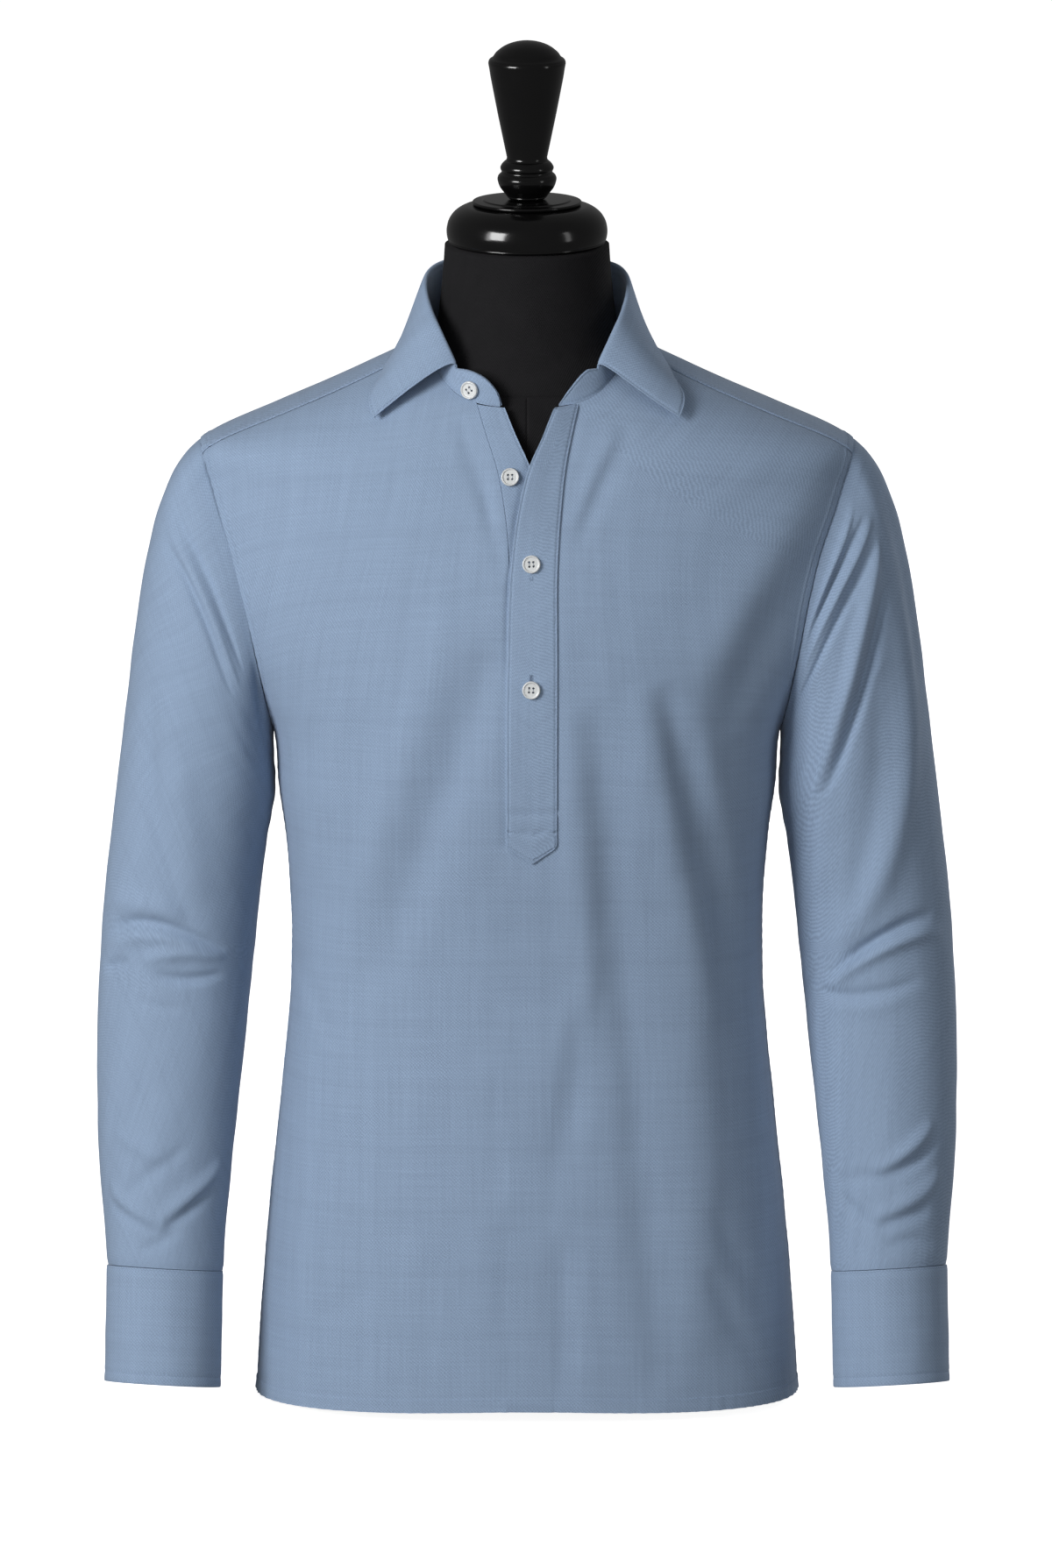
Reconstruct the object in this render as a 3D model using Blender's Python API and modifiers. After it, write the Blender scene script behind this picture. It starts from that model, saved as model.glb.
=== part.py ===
"""A half-placket oxford shirt standing on a limbless dress form.

Metres, +Z up, the wearer faces -Y, +X is the wearer's left. The origin is on
the floor, under the middle of the form's neck.

Every piece of the shirt's body lies on one surface, torso(angle, height): the
angle runs round the body from the middle of the front (0) through the
wearer's left side (90) to the middle of the back (180). Pieces are outlined in
(angle, height) and become walls by Solidify, inwards. The sleeves are tubes
that start with the armhole's own outline.
"""

import math

import bpy
import mathutils
import numpy as np

# Driving dimensions
WALL = 0.0014
FIRM_WALL = 0.0018
SEAM_GAP = 0.0003
SLEEVE_GAP = 0.0005
BAND_GAP = 0.0007
EDGE_LINE = 0.004

ARMPIT_HEIGHT = 0.477
SHOULDER_HEIGHT = 0.680
ARMPIT_X = 0.176
SHOULDER_X = 0.2262
ARMHOLE_HOLLOW = 0.004

HEM_SIDE = 0.006
HEM_FRONT = 0.0115
HEM_BACK = 0.009

FRONT_SEAM_TURN = math.radians(20)
BACK_SEAM_TURN = math.radians(-41)
FRONT_SEAM_NECK = math.radians(74)

SLOT_BOTTOM = 0.436
STRIP_CORNER = 0.4157
STRIP_TIP = 0.4020
STRIP_TOP_GAP = 0.0022
SLOT_TOP = 0.7185
SLOT_ROWS = 8
NECK_ROWS = 5

CUFF_HEIGHT = 0.081
CUFF_OPENING = math.radians(300)
CUFF_LAP = math.radians(26)
CUFF_EASE = 0.0004
CUFF_LEAN = np.array([0.02, -0.19, -0.98])
# How far round the cuff its outer end starts to rise over the inner one
LAP_START = math.radians(315)
LAP_RISE = math.radians(35)

SLIT_HALF_TURN = math.radians(17)
SLIT_TIP = 0.80
SLIT_CORNER = 0.82
SLIT_END = 0.997

BUTTON_RADIUS = 0.0064
BUTTON_THICKNESS = 0.0026
CUFF_BUTTON_RADIUS = 0.0056
BUTTON_GAP = 0.0002

CAP_BOTTOM = 0.8175
CAP_TOP = 0.8450
DISC_TOP = 0.8487

CLOTH_BLUE = (0.243, 0.325, 0.454)
BUTTON_WHITE = (0.72, 0.74, 0.75)
FORM_BLACK = (0.012, 0.012, 0.014)
GLOSS_BLACK = (0.004, 0.004, 0.004)
COLLECTION = "popover_shirt"


def table(columns, *rows):
    """A table with named columns; the first column is the station."""
    return dict(zip(columns.split(), np.array(rows, float).T))


def read(source, column, at):
    """The value of a column at any station, on a smooth curve through the rows."""
    stations = next(iter(source.values()))
    values = source[column]
    slopes = np.gradient(values, stations)
    at = np.clip(at, stations[0], stations[-1])
    row = np.clip(np.searchsorted(stations, at) - 1, 0, len(stations) - 2)
    reach = stations[row + 1] - stations[row]
    t = (at - stations[row]) / reach
    start = (1 + 2 * t) * (1 - t) ** 2 * values[row] + t * (1 - t) ** 2 * reach * slopes[row]
    end = t**2 * (3 - 2 * t) * values[row + 1] - t**2 * (1 - t) * reach * slopes[row + 1]
    return start + end


TORSO = table(
    "height half_width front back squareness",
    (0.000, 0.1890, 0.1050, 0.1120, 2.25),
    (0.060, 0.1855, 0.1050, 0.1110, 2.25),
    (0.140, 0.1790, 0.1040, 0.1090, 2.25),
    (0.220, 0.1707, 0.1030, 0.1040, 2.25),
    (0.300, 0.1638, 0.1040, 0.0990, 2.25),
    (0.350, 0.1636, 0.1080, 0.0990, 2.25),
    (0.400, 0.1672, 0.1150, 0.1040, 2.25),
    (0.440, 0.1725, 0.1200, 0.1100, 2.25),
    (0.477, 0.1760, 0.1225, 0.1160, 2.25),
    (0.505, 0.1870, 0.1230, 0.1190, 2.20),
    (0.540, 0.2045, 0.1215, 0.1220, 2.15),
    (0.580, 0.2190, 0.1170, 0.1215, 2.10),
    (0.620, 0.2270, 0.1100, 0.1180, 2.05),
    (0.655, 0.2290, 0.1020, 0.1110, 2.00),
    (0.680, 0.2262, 0.0950, 0.1040, 2.00),
    (0.705, 0.1745, 0.0845, 0.0960, 2.00),
    (0.717, 0.1460, 0.0780, 0.0920, 2.00),
    (0.731, 0.1150, 0.0660, 0.0870, 2.00),
    (0.752, 0.0740, 0.0520, 0.0800, 2.00),
    (0.765, 0.0650, 0.0500, 0.0745, 2.00),
    (0.780, 0.0610, 0.0490, 0.0700, 2.00),
)

# The neck edge: its height at each angle round the neck, in degrees
NECKLINE = table(
    "angle height",
    (0, 0.7165),
    (15, 0.7165),
    (25, 0.7185),
    (37, 0.7245),
    (45, 0.7310),
    (60, 0.7420),
    (75, 0.7490),
    (90, 0.7520),
    (120, 0.7560),
    (150, 0.7600),
    (180, 0.7620),
)

# Largest folds of the body: a straight soft fold from start to end, over x and
# height, as deep as depth (a ridge where it is positive)
FRONT_FOLDS = table(
    "start_x start_z end_x end_z width depth",
    (-0.056, 0.490, -0.110, 0.300, 0.018, -0.0032),
    (-0.035, 0.480, -0.076, 0.350, 0.016, 0.0018),
    (-0.100, 0.480, -0.132, 0.330, 0.016, 0.0016),
    (0.040, 0.480, 0.052, 0.270, 0.016, -0.0026),
    (0.056, 0.480, 0.100, 0.120, 0.018, 0.0026),
    (0.094, 0.500, 0.148, 0.260, 0.016, -0.0050),
    (0.118, 0.500, 0.146, 0.380, 0.016, 0.0024),
    (0.020, 0.230, -0.002, 0.140, 0.016, -0.0016),
    (0.052, 0.220, 0.054, 0.060, 0.016, -0.0022),
    (0.104, 0.260, 0.115, 0.060, 0.016, 0.0020),
    (0.190, 0.640, 0.115, 0.575, 0.020, 0.0028),
    (0.180, 0.610, 0.125, 0.530, 0.022, -0.0044),
)
BACK_FOLDS = table(
    "start_x start_z end_x end_z width depth",
    (0.140, 0.560, 0.060, 0.470, 0.022, -0.0040),
    (-0.140, 0.580, -0.070, 0.480, 0.022, -0.0040),
    (0.000, 0.560, 0.004, 0.330, 0.024, -0.0040),
    (0.050, 0.380, 0.062, 0.000, 0.020, 0.0035),
    (-0.045, 0.400, -0.055, 0.000, 0.020, 0.0035),
    (0.100, 0.330, 0.118, 0.000, 0.018, -0.0030),
    (-0.100, 0.300, -0.120, 0.000, 0.018, -0.0030),
    (0.000, 0.240, 0.000, 0.000, 0.018, -0.0030),
)

# The strip edges of the neck opening, as x at each height
OPENING = table(
    "height slot_left slot_right strip_free strip_sewn lower_free",
    (0.400, -0.0120, 0.0160, -0.0140, 0.0207, 0.0157),
    (0.545, -0.0120, 0.0160, -0.0134, 0.0210, 0.0157),
    (0.610, -0.0125, 0.0163, -0.0110, 0.0212, 0.0157),
    (0.647, -0.0155, 0.0180, -0.0060, 0.0235, 0.0125),
    (0.678, -0.0215, 0.0220, 0.0020, 0.0270, 0.0020),
    (0.700, -0.0290, 0.0270, 0.0125, 0.0315, -0.0085),
    (0.722, -0.0360, 0.0330, 0.0220, 0.0370, -0.0180),
)

# The band's top edge and the leaf's free edge, by angle round the neck. The
# leaf's edge lies over the body at an angle and height of its own
COLLAR = table(
    "angle top_radius top_height edge_angle edge_height edge_lift",
    (37.0, 0.0818, 0.7410, 56.5, 0.7040, 0.0035),
    (42.5, 0.0810, 0.7530, 62.0, 0.7140, 0.0030),
    (51.0, 0.0790, 0.7655, 67.0, 0.7250, 0.0028),
    (60.0, 0.0755, 0.7725, 73.0, 0.7340, 0.0022),
    (74.0, 0.0718, 0.7805, 81.5, 0.7410, 0.0020),
    (90.0, 0.0702, 0.7865, 90.0, 0.7440, 0.0020),
    (127.0, 0.0735, 0.7935, 125.0, 0.7480, 0.0030),
    (180.0, 0.0740, 0.7955, 180.0, 0.7505, 0.0040),
)
LEAF_END = math.radians(37)
# The leaf's curve: how high it rolls, and how far it then runs level
ROLL = 0.009
ROLL_OUT = 0.38

# The round ends of the band, and how far round the neck each one runs
BAND_END_LEFT = math.radians(-13.5)
BAND_END_RIGHT = math.radians(16)
BAND_END_REACH = math.radians(21)

# The sleeve's outer and inner edges, its half depth and its middle, by the
# share of the way from the armhole to the cuff
SLEEVE = table(
    "along outer_x outer_z inner_x inner_z depth middle_y front_rise",
    (0.00, 0.2266, 0.6800, 0.1766, 0.4770, 0.0560, 0.000, 0.0000),
    (0.04, 0.2365, 0.6705, 0.1767, 0.4715, 0.0575, 0.000, 0.0000),
    (0.08, 0.2465, 0.6550, 0.1766, 0.4650, 0.0590, 0.000, 0.0000),
    (0.13, 0.2560, 0.6300, 0.1764, 0.4550, 0.0600, 0.001, 0.0000),
    (0.19, 0.2643, 0.5970, 0.1757, 0.4430, 0.0610, 0.002, 0.0000),
    (0.26, 0.2710, 0.5560, 0.1756, 0.4300, 0.0610, 0.003, 0.0000),
    (0.34, 0.2772, 0.5070, 0.1782, 0.4140, 0.0600, 0.004, 0.0000),
    (0.42, 0.2830, 0.4570, 0.1818, 0.3930, 0.0580, 0.005, 0.0000),
    (0.50, 0.2888, 0.4080, 0.1856, 0.3640, 0.0555, 0.005, 0.0003),
    (0.58, 0.2943, 0.3580, 0.1890, 0.3320, 0.0530, 0.004, 0.0010),
    (0.66, 0.2978, 0.3090, 0.1925, 0.2990, 0.0505, 0.001, 0.0028),
    (0.74, 0.2997, 0.2620, 0.1965, 0.2590, 0.0480, -0.005, 0.0048),
    (0.82, 0.2996, 0.2130, 0.2019, 0.2105, 0.0450, -0.013, 0.0064),
    (0.90, 0.2978, 0.1660, 0.2070, 0.1630, 0.0420, -0.022, 0.0071),
    (0.96, 0.2942, 0.1250, 0.2110, 0.1210, 0.0400, -0.029, 0.0073),
    (1.00, 0.2926, 0.1016, 0.2122, 0.0970, 0.0392, -0.034, 0.0074),
)
ARMHOLE_FADE = 0.30
# One turn round the sleeve, as a share of the sleeve's length
TURN_SHARE = 0.55

# Largest folds of the sleeves, over turn (degrees, 0 on top, 90 in front, 180
# under the arm) and the way along the sleeve
SLEEVE_FOLDS_LEFT = table(
    "start_turn start_along end_turn end_along width depth",
    (112, 0.02, 40, 0.10, 0.022, -0.0030),
    (130, 0.10, 54, 0.13, 0.022, 0.0030),
    (112, 0.28, 46, 0.16, 0.022, -0.0030),
    (140, 0.62, 60, 0.49, 0.024, 0.0024),
    (138, 0.65, 86, 0.585, 0.020, -0.0034),
    (86, 0.585, 36, 0.615, 0.020, -0.0034),
    (150, 0.85, 103, 0.91, 0.020, -0.0018),
    (103, 0.91, 50, 0.862, 0.020, -0.0018),
    (-60, 0.56, -150, 0.60, 0.026, 0.0035),
    (-50, 0.66, -150, 0.66, 0.024, -0.0030),
    (-100, 0.30, -170, 0.18, 0.030, -0.0035),
)
SLEEVE_FOLDS_RIGHT = table(
    "start_turn start_along end_turn end_along width depth",
    (36, 0.11, 104, 0.09, 0.022, -0.0024),
    (38, 0.15, 100, 0.16, 0.022, -0.0020),
    (50, 0.33, 92, 0.55, 0.022, -0.0022),
    (28, 0.632, 69, 0.585, 0.020, -0.0030),
    (69, 0.585, 116, 0.632, 0.020, -0.0030),
    (60, 0.615, 115, 0.615, 0.020, 0.0020),
    (40, 0.87, 88, 0.935, 0.020, -0.0018),
    (88, 0.935, 146, 0.875, 0.020, -0.0018),
    (-60, 0.55, -150, 0.59, 0.026, 0.0035),
    (-55, 0.65, -150, 0.65, 0.024, -0.0030),
    (-100, 0.28, -170, 0.16, 0.030, -0.0035),
)

FORM = table(
    "height half_width front back squareness",
    (0.000, 0.1300, 0.0440, 0.0480, 2.20),
    (0.004, 0.1500, 0.0660, 0.0700, 2.20),
    (0.009, 0.1640, 0.0810, 0.0850, 2.20),
    (0.018, 0.1730, 0.0910, 0.0960, 2.20),
    (0.040, 0.1770, 0.0950, 0.1010, 2.20),
    (0.140, 0.1700, 0.0950, 0.1000, 2.20),
    (0.220, 0.1615, 0.0940, 0.0950, 2.20),
    (0.300, 0.1540, 0.0950, 0.0900, 2.20),
    (0.360, 0.1545, 0.1000, 0.0900, 2.20),
    (0.440, 0.1630, 0.1100, 0.1010, 2.20),
    (0.500, 0.1700, 0.1140, 0.1080, 2.20),
    (0.560, 0.1820, 0.1120, 0.1120, 2.15),
    (0.620, 0.1980, 0.1010, 0.1080, 2.05),
    (0.660, 0.2100, 0.0920, 0.1010, 2.00),
    (0.674, 0.2120, 0.0880, 0.0970, 2.00),
    (0.686, 0.2010, 0.0830, 0.0930, 2.00),
    (0.705, 0.1700, 0.0765, 0.0880, 2.00),
    (0.717, 0.1395, 0.0705, 0.0845, 2.00),
    (0.731, 0.1000, 0.0653, 0.0790, 2.00),
    (0.745, 0.0725, 0.0625, 0.0730, 2.00),
    (0.757, 0.0640, 0.0608, 0.0680, 2.00),
    (0.775, 0.0606, 0.0592, 0.0622, 2.00),
    (0.795, 0.0585, 0.0580, 0.0590, 2.00),
    (0.8172, 0.0570, 0.0570, 0.0570, 2.00),
)

# Radius and height, down the outer side
CAP_PROFILE = [(0.0, CAP_TOP), (0.0380, CAP_TOP), (0.0440, 0.8438), (0.0505, 0.8400)]
CAP_PROFILE += [(0.0547, 0.8340), (0.0560, 0.8270), (0.0553, 0.8215), (0.0535, CAP_BOTTOM)]
CAP_PROFILE += [(0.0, CAP_BOTTOM)]

DISC_PROFILE = [(0.0, DISC_TOP), (0.0300, DISC_TOP), (0.0310, 0.8479), (0.0374, 0.8477)]
DISC_PROFILE += [(0.0380, 0.8468), (0.0374, CAP_TOP + SEAM_GAP), (0.0, CAP_TOP + SEAM_GAP)]

FINIAL_PROFILE = [(0.0, 0.9600), (0.0090, 0.9588), (0.0165, 0.9558), (0.0220, 0.9512)]
FINIAL_PROFILE += [(0.0236, 0.9483), (0.0262, 0.9468), (0.0270, 0.9445), (0.0262, 0.9405)]
FINIAL_PROFILE += [(0.0254, 0.9350), (0.0200, 0.9070), (0.0137, 0.8768), (0.0168, 0.8745)]
FINIAL_PROFILE += [(0.0190, 0.8710), (0.0172, 0.8678), (0.0198, 0.8660), (0.0207, 0.8632)]
FINIAL_PROFILE += [(0.0192, 0.8575), (0.0150, 0.8525), (0.0128, DISC_TOP + SEAM_GAP)]
FINIAL_PROFILE += [(0.0, DISC_TOP + SEAM_GAP)]


def section_radius(source, angle, height):
    """Distance from the axis to a rounded-box section: |x/a|^n + |y/b|^n = 1."""
    depth = np.where(np.cos(angle) > 0, read(source, "front", height), read(source, "back", height))
    power = read(source, "squareness", height)
    across = np.abs(np.sin(angle)) / read(source, "half_width", height)
    through = np.abs(np.cos(angle)) / depth
    return (across**power + through**power) ** (-1 / power)


def fold_height(folds, across, up):
    """Sum of soft ridges and troughs: depth * exp(-(distance / width)^2), faded at their ends."""
    first, second, third, fourth, width, depth = (column for column in folds.values())
    total = np.zeros(np.broadcast(across, up).shape)
    for k in range(len(depth)):
        run = np.array([third[k] - first[k], fourth[k] - second[k]])
        length = np.hypot(*run)
        part = ((across - first[k]) * run[0] + (up - second[k]) * run[1]) / length**2
        off = ((across - first[k]) * run[1] - (up - second[k]) * run[0]) / length
        past = np.clip(np.abs(part - 0.5) - 0.5, 0, None) * length
        total = total + depth[k] * np.exp(-((off**2 + 2 * past**2) / width[k] ** 2))
    return total


def torso(angle, height):
    """A point of the shirt's outer surface: the section's radius plus the folds."""
    angle, height = np.broadcast_arrays(angle, height)
    radius = section_radius(TORSO, angle, height)
    x = radius * np.sin(angle)
    folds = np.where(
        np.cos(angle) > 0,
        fold_height(FRONT_FOLDS, x, height),
        fold_height(BACK_FOLDS, x, height),
    )
    radius = radius + folds * np.abs(np.cos(angle)) ** 0.5
    return np.stack([radius * np.sin(angle), -radius * np.cos(angle), height], axis=-1)


def raised(surface, across, along, lift):
    """A point of a surface moved out along its normal, d/d(across) x d/d(along)."""
    step = 1e-4
    first = surface(across + step, along) - surface(across - step, along)
    second = surface(across, along + step) - surface(across, along - step)
    normal = np.cross(first, second)
    normal /= np.linalg.norm(normal, axis=-1, keepdims=True)
    return surface(across, along) + np.asarray(lift)[..., None] * normal


def angle_at(x, height):
    """Angle of the point of the front surface at x."""
    half_width = read(TORSO, "half_width", height)
    power = read(TORSO, "squareness", height)
    share = np.clip(1 - np.abs(x / half_width) ** power, 0, None)
    return np.arctan2(x, read(TORSO, "front", height) * share ** (1 / power))


def neck_height(angle):
    return read(NECKLINE, "height", np.degrees(np.abs(np.arctan2(np.sin(angle), np.cos(angle)))))


def hem_height(angle):
    middle = np.where(np.cos(angle) > 0, HEM_FRONT, HEM_BACK)
    return HEM_SIDE + (middle - HEM_SIDE) * np.cos(angle) ** 2


def armhole(turn):
    """(angle, height) of the armhole's edge; turn is 0 on the shoulder, 90 in front, 180 below."""
    middle = (SHOULDER_HEIGHT + ARMPIT_HEIGHT) / 2
    half = (SHOULDER_HEIGHT - ARMPIT_HEIGHT) / 2
    height = middle + half * np.cos(turn)
    up = (height - ARMPIT_HEIGHT) / (2 * half)
    x = ARMPIT_X + (SHOULDER_X - ARMPIT_X) * up - ARMHOLE_HOLLOW * np.sin(np.pi * up)
    half_width = read(TORSO, "half_width", height)
    power = read(TORSO, "squareness", height)
    share = np.clip(1 - (x / half_width) ** power, 0, None) ** (1 / power)
    front = read(TORSO, "front", height) * share
    back = read(TORSO, "back", height) * share
    return np.arctan2(x, np.where(np.sin(turn) >= 0, front, -back)), height


def sleeve_tube(turn, along):
    """Plain ellipse of the sleeve at the way along, tilted with the arm."""
    columns = "outer_x outer_z inner_x inner_z depth middle_y front_rise".split()
    ox, oz, ix, iz, depth, middle_y, rise = (read(SLEEVE, name, along) for name in columns)
    x = (ox + ix) / 2 + (ox - ix) / 2 * np.cos(turn)
    y = middle_y - depth * np.sin(turn)
    z = (oz + iz) / 2 + (oz - iz) / 2 * np.cos(turn) + rise * np.sin(turn)
    return np.stack([x, y, z], axis=-1)


def sleeve(turn, along, folds):
    """The left sleeve: the armhole's outline fades into the tube, folds are added outwards."""
    turn, along = np.broadcast_arrays(turn, along)
    start = torso(*armhole(turn)) + [SLEEVE_GAP, 0, 0]
    fade = np.clip(1 - along / ARMHOLE_FADE, 0, 1)[..., None] ** 2
    point = sleeve_tube(turn, along) + fade * (start - sleeve_tube(turn, 0 * along))
    signed = np.arctan2(np.sin(turn), np.cos(turn))
    round_share = TURN_SHARE / (2 * np.pi)
    scaled = {name: values.copy() for name, values in folds.items()}
    for name in ("start_turn", "end_turn"):
        scaled[name] = np.radians(folds[name]) * round_share
    height = fold_height(scaled, signed * round_share, along)
    height = height * np.clip(along / 0.05, 0, 1) * np.clip((1 - along) / 0.04, 0, 1)
    out = np.stack([np.cos(turn), -np.sin(turn), 0 * turn], axis=-1)
    return point + height[..., None] * out


def cuff(turn, down):
    """The left cuff: the sleeve's last ring carried down the forearm, lapped at its opening."""
    turn, down = np.broadcast_arrays(turn, down)
    ring = sleeve_tube(turn, 1 + 0 * down)
    lap = np.clip((turn - CUFF_OPENING - LAP_START) / LAP_RISE, 0, 1)
    lap = lap**2 * (3 - 2 * lap) * (FIRM_WALL + 2 * SEAM_GAP)
    out = np.stack([np.cos(turn), -np.sin(turn), 0 * turn], axis=-1)
    return ring + out * (CUFF_EASE + lap)[..., None] + (SEAM_GAP + down)[..., None] * CUFF_LEAN


def collar_lines(angle):
    """(neck edge, band's top edge, leaf's free edge) at an angle round the neck."""
    side = np.sign(np.sin(angle))
    degrees = np.degrees(np.abs(np.arctan2(np.sin(angle), np.cos(angle))))
    neck = torso(angle, neck_height(angle))
    radius = read(COLLAR, "top_radius", degrees)
    top_height = read(COLLAR, "top_height", degrees)
    top = np.stack([radius * np.sin(angle), -radius * np.cos(angle), top_height], axis=-1)
    edge_angle = np.radians(read(COLLAR, "edge_angle", degrees)) * np.where(side == 0, 1, side)
    edge = raised(
        torso, edge_angle, read(COLLAR, "edge_height", degrees), read(COLLAR, "edge_lift", degrees)
    )
    return neck, top, edge


def band(angle, up):
    """The band: straight from the neck edge to its top edge, lowered to round ends in front."""
    neck, top, _ = collar_lines(angle)
    signed = np.arctan2(np.sin(angle), np.cos(angle))
    from_end = np.where(signed > 0, signed - BAND_END_RIGHT, BAND_END_LEFT - signed)
    share = np.clip(from_end / BAND_END_REACH, 0, 1)
    reach = np.sqrt(1 - (1 - share) ** 2) * 0.96 + 0.04
    base = neck + np.array([0, 0, BAND_GAP])
    return base + (up * reach)[..., None] * (top - base)


def leaf(angle, out):
    """The leaf: a curve that rises from the band, rolls over and falls to the free edge."""
    neck, top, edge = collar_lines(angle)
    rise = (top - neck) / np.linalg.norm(top - neck, axis=-1, keepdims=True)
    start = top + SEAM_GAP * rise
    first = start + ROLL * rise
    second = start + 0.9 * ROLL * rise + ROLL_OUT * (edge - start)
    t = np.asarray(out)[..., None]
    return (
        (1 - t) ** 3 * start
        + 3 * t * (1 - t) ** 2 * first
        + 3 * t**2 * (1 - t) * second
        + t**3 * edge
    )


def grid(across, along):
    """Every pair of the two lists, as two arrays [along, across]."""
    return np.meshgrid(across, along)


def ruled(start, end, count):
    """Rows that run straight, in (angle, height), from one edge line to the other."""
    share = np.linspace(0, 1, count)[None, :, None]
    start = np.stack(start, axis=-1)[:, None, :]
    end = np.stack(end, axis=-1)[:, None, :]
    return start + share * (end - start)


def trimmed(sheet, sides):
    """Each named edge moved in by half a seam gap, with a line of points beside it.

    The line lies EDGE_LINE from the edge, so that the wall stands square at the
    seam. Sides are named bottom, top, first (column) and last (column).
    """
    for side in sides.split():
        axis = 0 if side in ("bottom", "top") else 1
        sheet = np.moveaxis(sheet, axis, 0)
        if side in ("top", "last"):
            sheet = sheet[::-1]
        points = torso(sheet[:2, :, 0], sheet[:2, :, 1])
        reach = np.linalg.norm(points[1] - points[0], axis=-1, keepdims=True)
        step = sheet[1] - sheet[0]
        edge = sheet[0] + step * (SEAM_GAP / 2) / reach
        line = sheet[0] + step * EDGE_LINE / reach
        sheet = np.concatenate([edge[None], line[None], sheet[1:]])
        if side in ("top", "last"):
            sheet = sheet[::-1]
        sheet = np.moveaxis(sheet, 0, axis)
    return sheet


def finish(name, colour, roughness, metallic=0.0):
    material = bpy.data.materials.new(name)
    material.use_nodes = True
    shader = material.node_tree.nodes["Principled BSDF"]
    shader.inputs["Base Color"].default_value = (*colour, 1)
    shader.inputs["Roughness"].default_value = roughness
    shader.inputs["Metallic"].default_value = metallic
    material.diffuse_color = (*colour, 1)
    return material


def add_object(name, mesh, colour, roughness):
    mesh.materials.append(finish(name, colour, roughness))
    mesh.shade_smooth()
    made = bpy.data.objects.new(name, mesh)
    bpy.data.collections[COLLECTION].objects.link(made)
    return made


def cloth(name, points, wall=WALL, closed=False, gap_cells=()):
    """A sheet of quads through a grid of points, given its wall inwards."""
    rows, columns = points.shape[:2]
    index = np.arange(rows * columns).reshape(rows, columns)
    right = np.roll(index, -1, axis=1)
    faces = np.stack([index[:-1], right[:-1], right[1:], index[1:]], axis=-1)
    kept = np.ones((rows - 1, columns), bool)
    kept[:, -1] = closed
    for row, column in gap_cells:
        kept[row, column] = False
    mesh = bpy.data.meshes.new(name)
    mesh.from_pydata(points.reshape(-1, 3).tolist(), [], faces[kept].tolist())
    made = add_object(name, mesh, CLOTH_BLUE, 0.85)
    solidify = made.modifiers.new("Wall", "SOLIDIFY")
    solidify.thickness = wall
    solidify.offset = -1
    return made


def mirrored(points):
    return points[:, ::-1] * np.array([-1, 1, 1])


def turned(name, profile, steps, colour, roughness):
    """A profile, top to bottom down its outer side, turned about the Z axis."""
    mesh = bpy.data.meshes.new(name)
    edges = [(k, k + 1) for k in range(len(profile) - 1)]
    mesh.from_pydata([(radius, 0, height) for radius, height in profile], edges, [])
    made = add_object(name, mesh, colour, roughness)
    screw = made.modifiers.new("Turned", "SCREW")
    screw.steps = screw.render_steps = steps
    screw.use_merge_vertices = True
    screw.merge_threshold = 0.00005
    return made


def clear_scene():
    for item in list(bpy.data.objects):
        bpy.data.objects.remove(item, do_unlink=True)
    collection = bpy.data.collections.new(COLLECTION)
    bpy.context.scene.collection.children.link(collection)


def slot_line(column):
    """(angles, heights) up one side of the slot, from the armpit's height to the neck edge."""
    top = neck_height(angle_at(read(OPENING, column, SLOT_TOP), SLOT_TOP))
    heights = np.linspace(ARMPIT_HEIGHT, top, SLOT_ROWS + 1)[1:]
    return angle_at(read(OPENING, column, heights), heights), heights


def front_half(side, slot_column):
    """One side of the front: rows from the slot's line to the side seam and armhole."""
    low = np.concatenate([np.linspace(0, 0.40, 10), [SLOT_BOTTOM, ARMPIT_HEIGHT]])
    low[0] = hem_height(0.0)
    slot_angles, slot_heights = slot_line(slot_column)
    neck_angles = np.linspace(slot_angles[-1], side * FRONT_SEAM_NECK, NECK_ROWS + 1)[1:]
    inner_angle = np.concatenate(
        [angle_at(read(OPENING, slot_column, low), low), slot_angles, neck_angles]
    )
    inner_height = np.concatenate([low, slot_heights, neck_height(neck_angles)])
    low[0] = hem_height(np.pi / 2)
    turns = np.linspace(np.pi, FRONT_SEAM_TURN, SLOT_ROWS + NECK_ROWS + 1)[1:]
    arm_angle, arm_height = armhole(turns)
    outer_angle = side * np.concatenate([np.pi / 2 + 0 * low, arm_angle])
    outer_height = np.concatenate([low, arm_height])
    return (inner_angle, inner_height), (outer_angle, outer_height), len(low)


def make_front():
    columns = 12
    left_start, left_end, low_rows = front_half(-1, "slot_left")
    right_start, right_end, low_rows = front_half(1, "slot_right")
    left = trimmed(ruled(left_end, left_start, columns), "first top")
    right = trimmed(ruled(right_start, right_end, columns), "last top")
    sheet = np.concatenate([left, right], axis=1)
    slot_column = left.shape[1] - 1
    slot = [(row, slot_column) for row in range(low_rows - 2, len(sheet) - 1)]
    cloth("front", torso(sheet[..., 0], sheet[..., 1]), gap_cells=slot)


def make_back():
    low = np.linspace(0, ARMPIT_HEIGHT, 11)
    low[0] = hem_height(np.pi / 2)
    turns = np.linspace(-np.pi, BACK_SEAM_TURN, 8)[1:]
    arm_angle, arm_height = armhole(turns)
    angles = np.concatenate([np.pi / 2 + 0 * low, arm_angle])
    heights = np.concatenate([low, arm_height])
    sheet = ruled((angles, heights), (2 * np.pi - angles, heights), 15)
    sheet[0, :, 1] = hem_height(sheet[0, :, 0])
    sheet = trimmed(sheet, "first last top")
    cloth("back", torso(sheet[..., 0], sheet[..., 1]))


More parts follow.
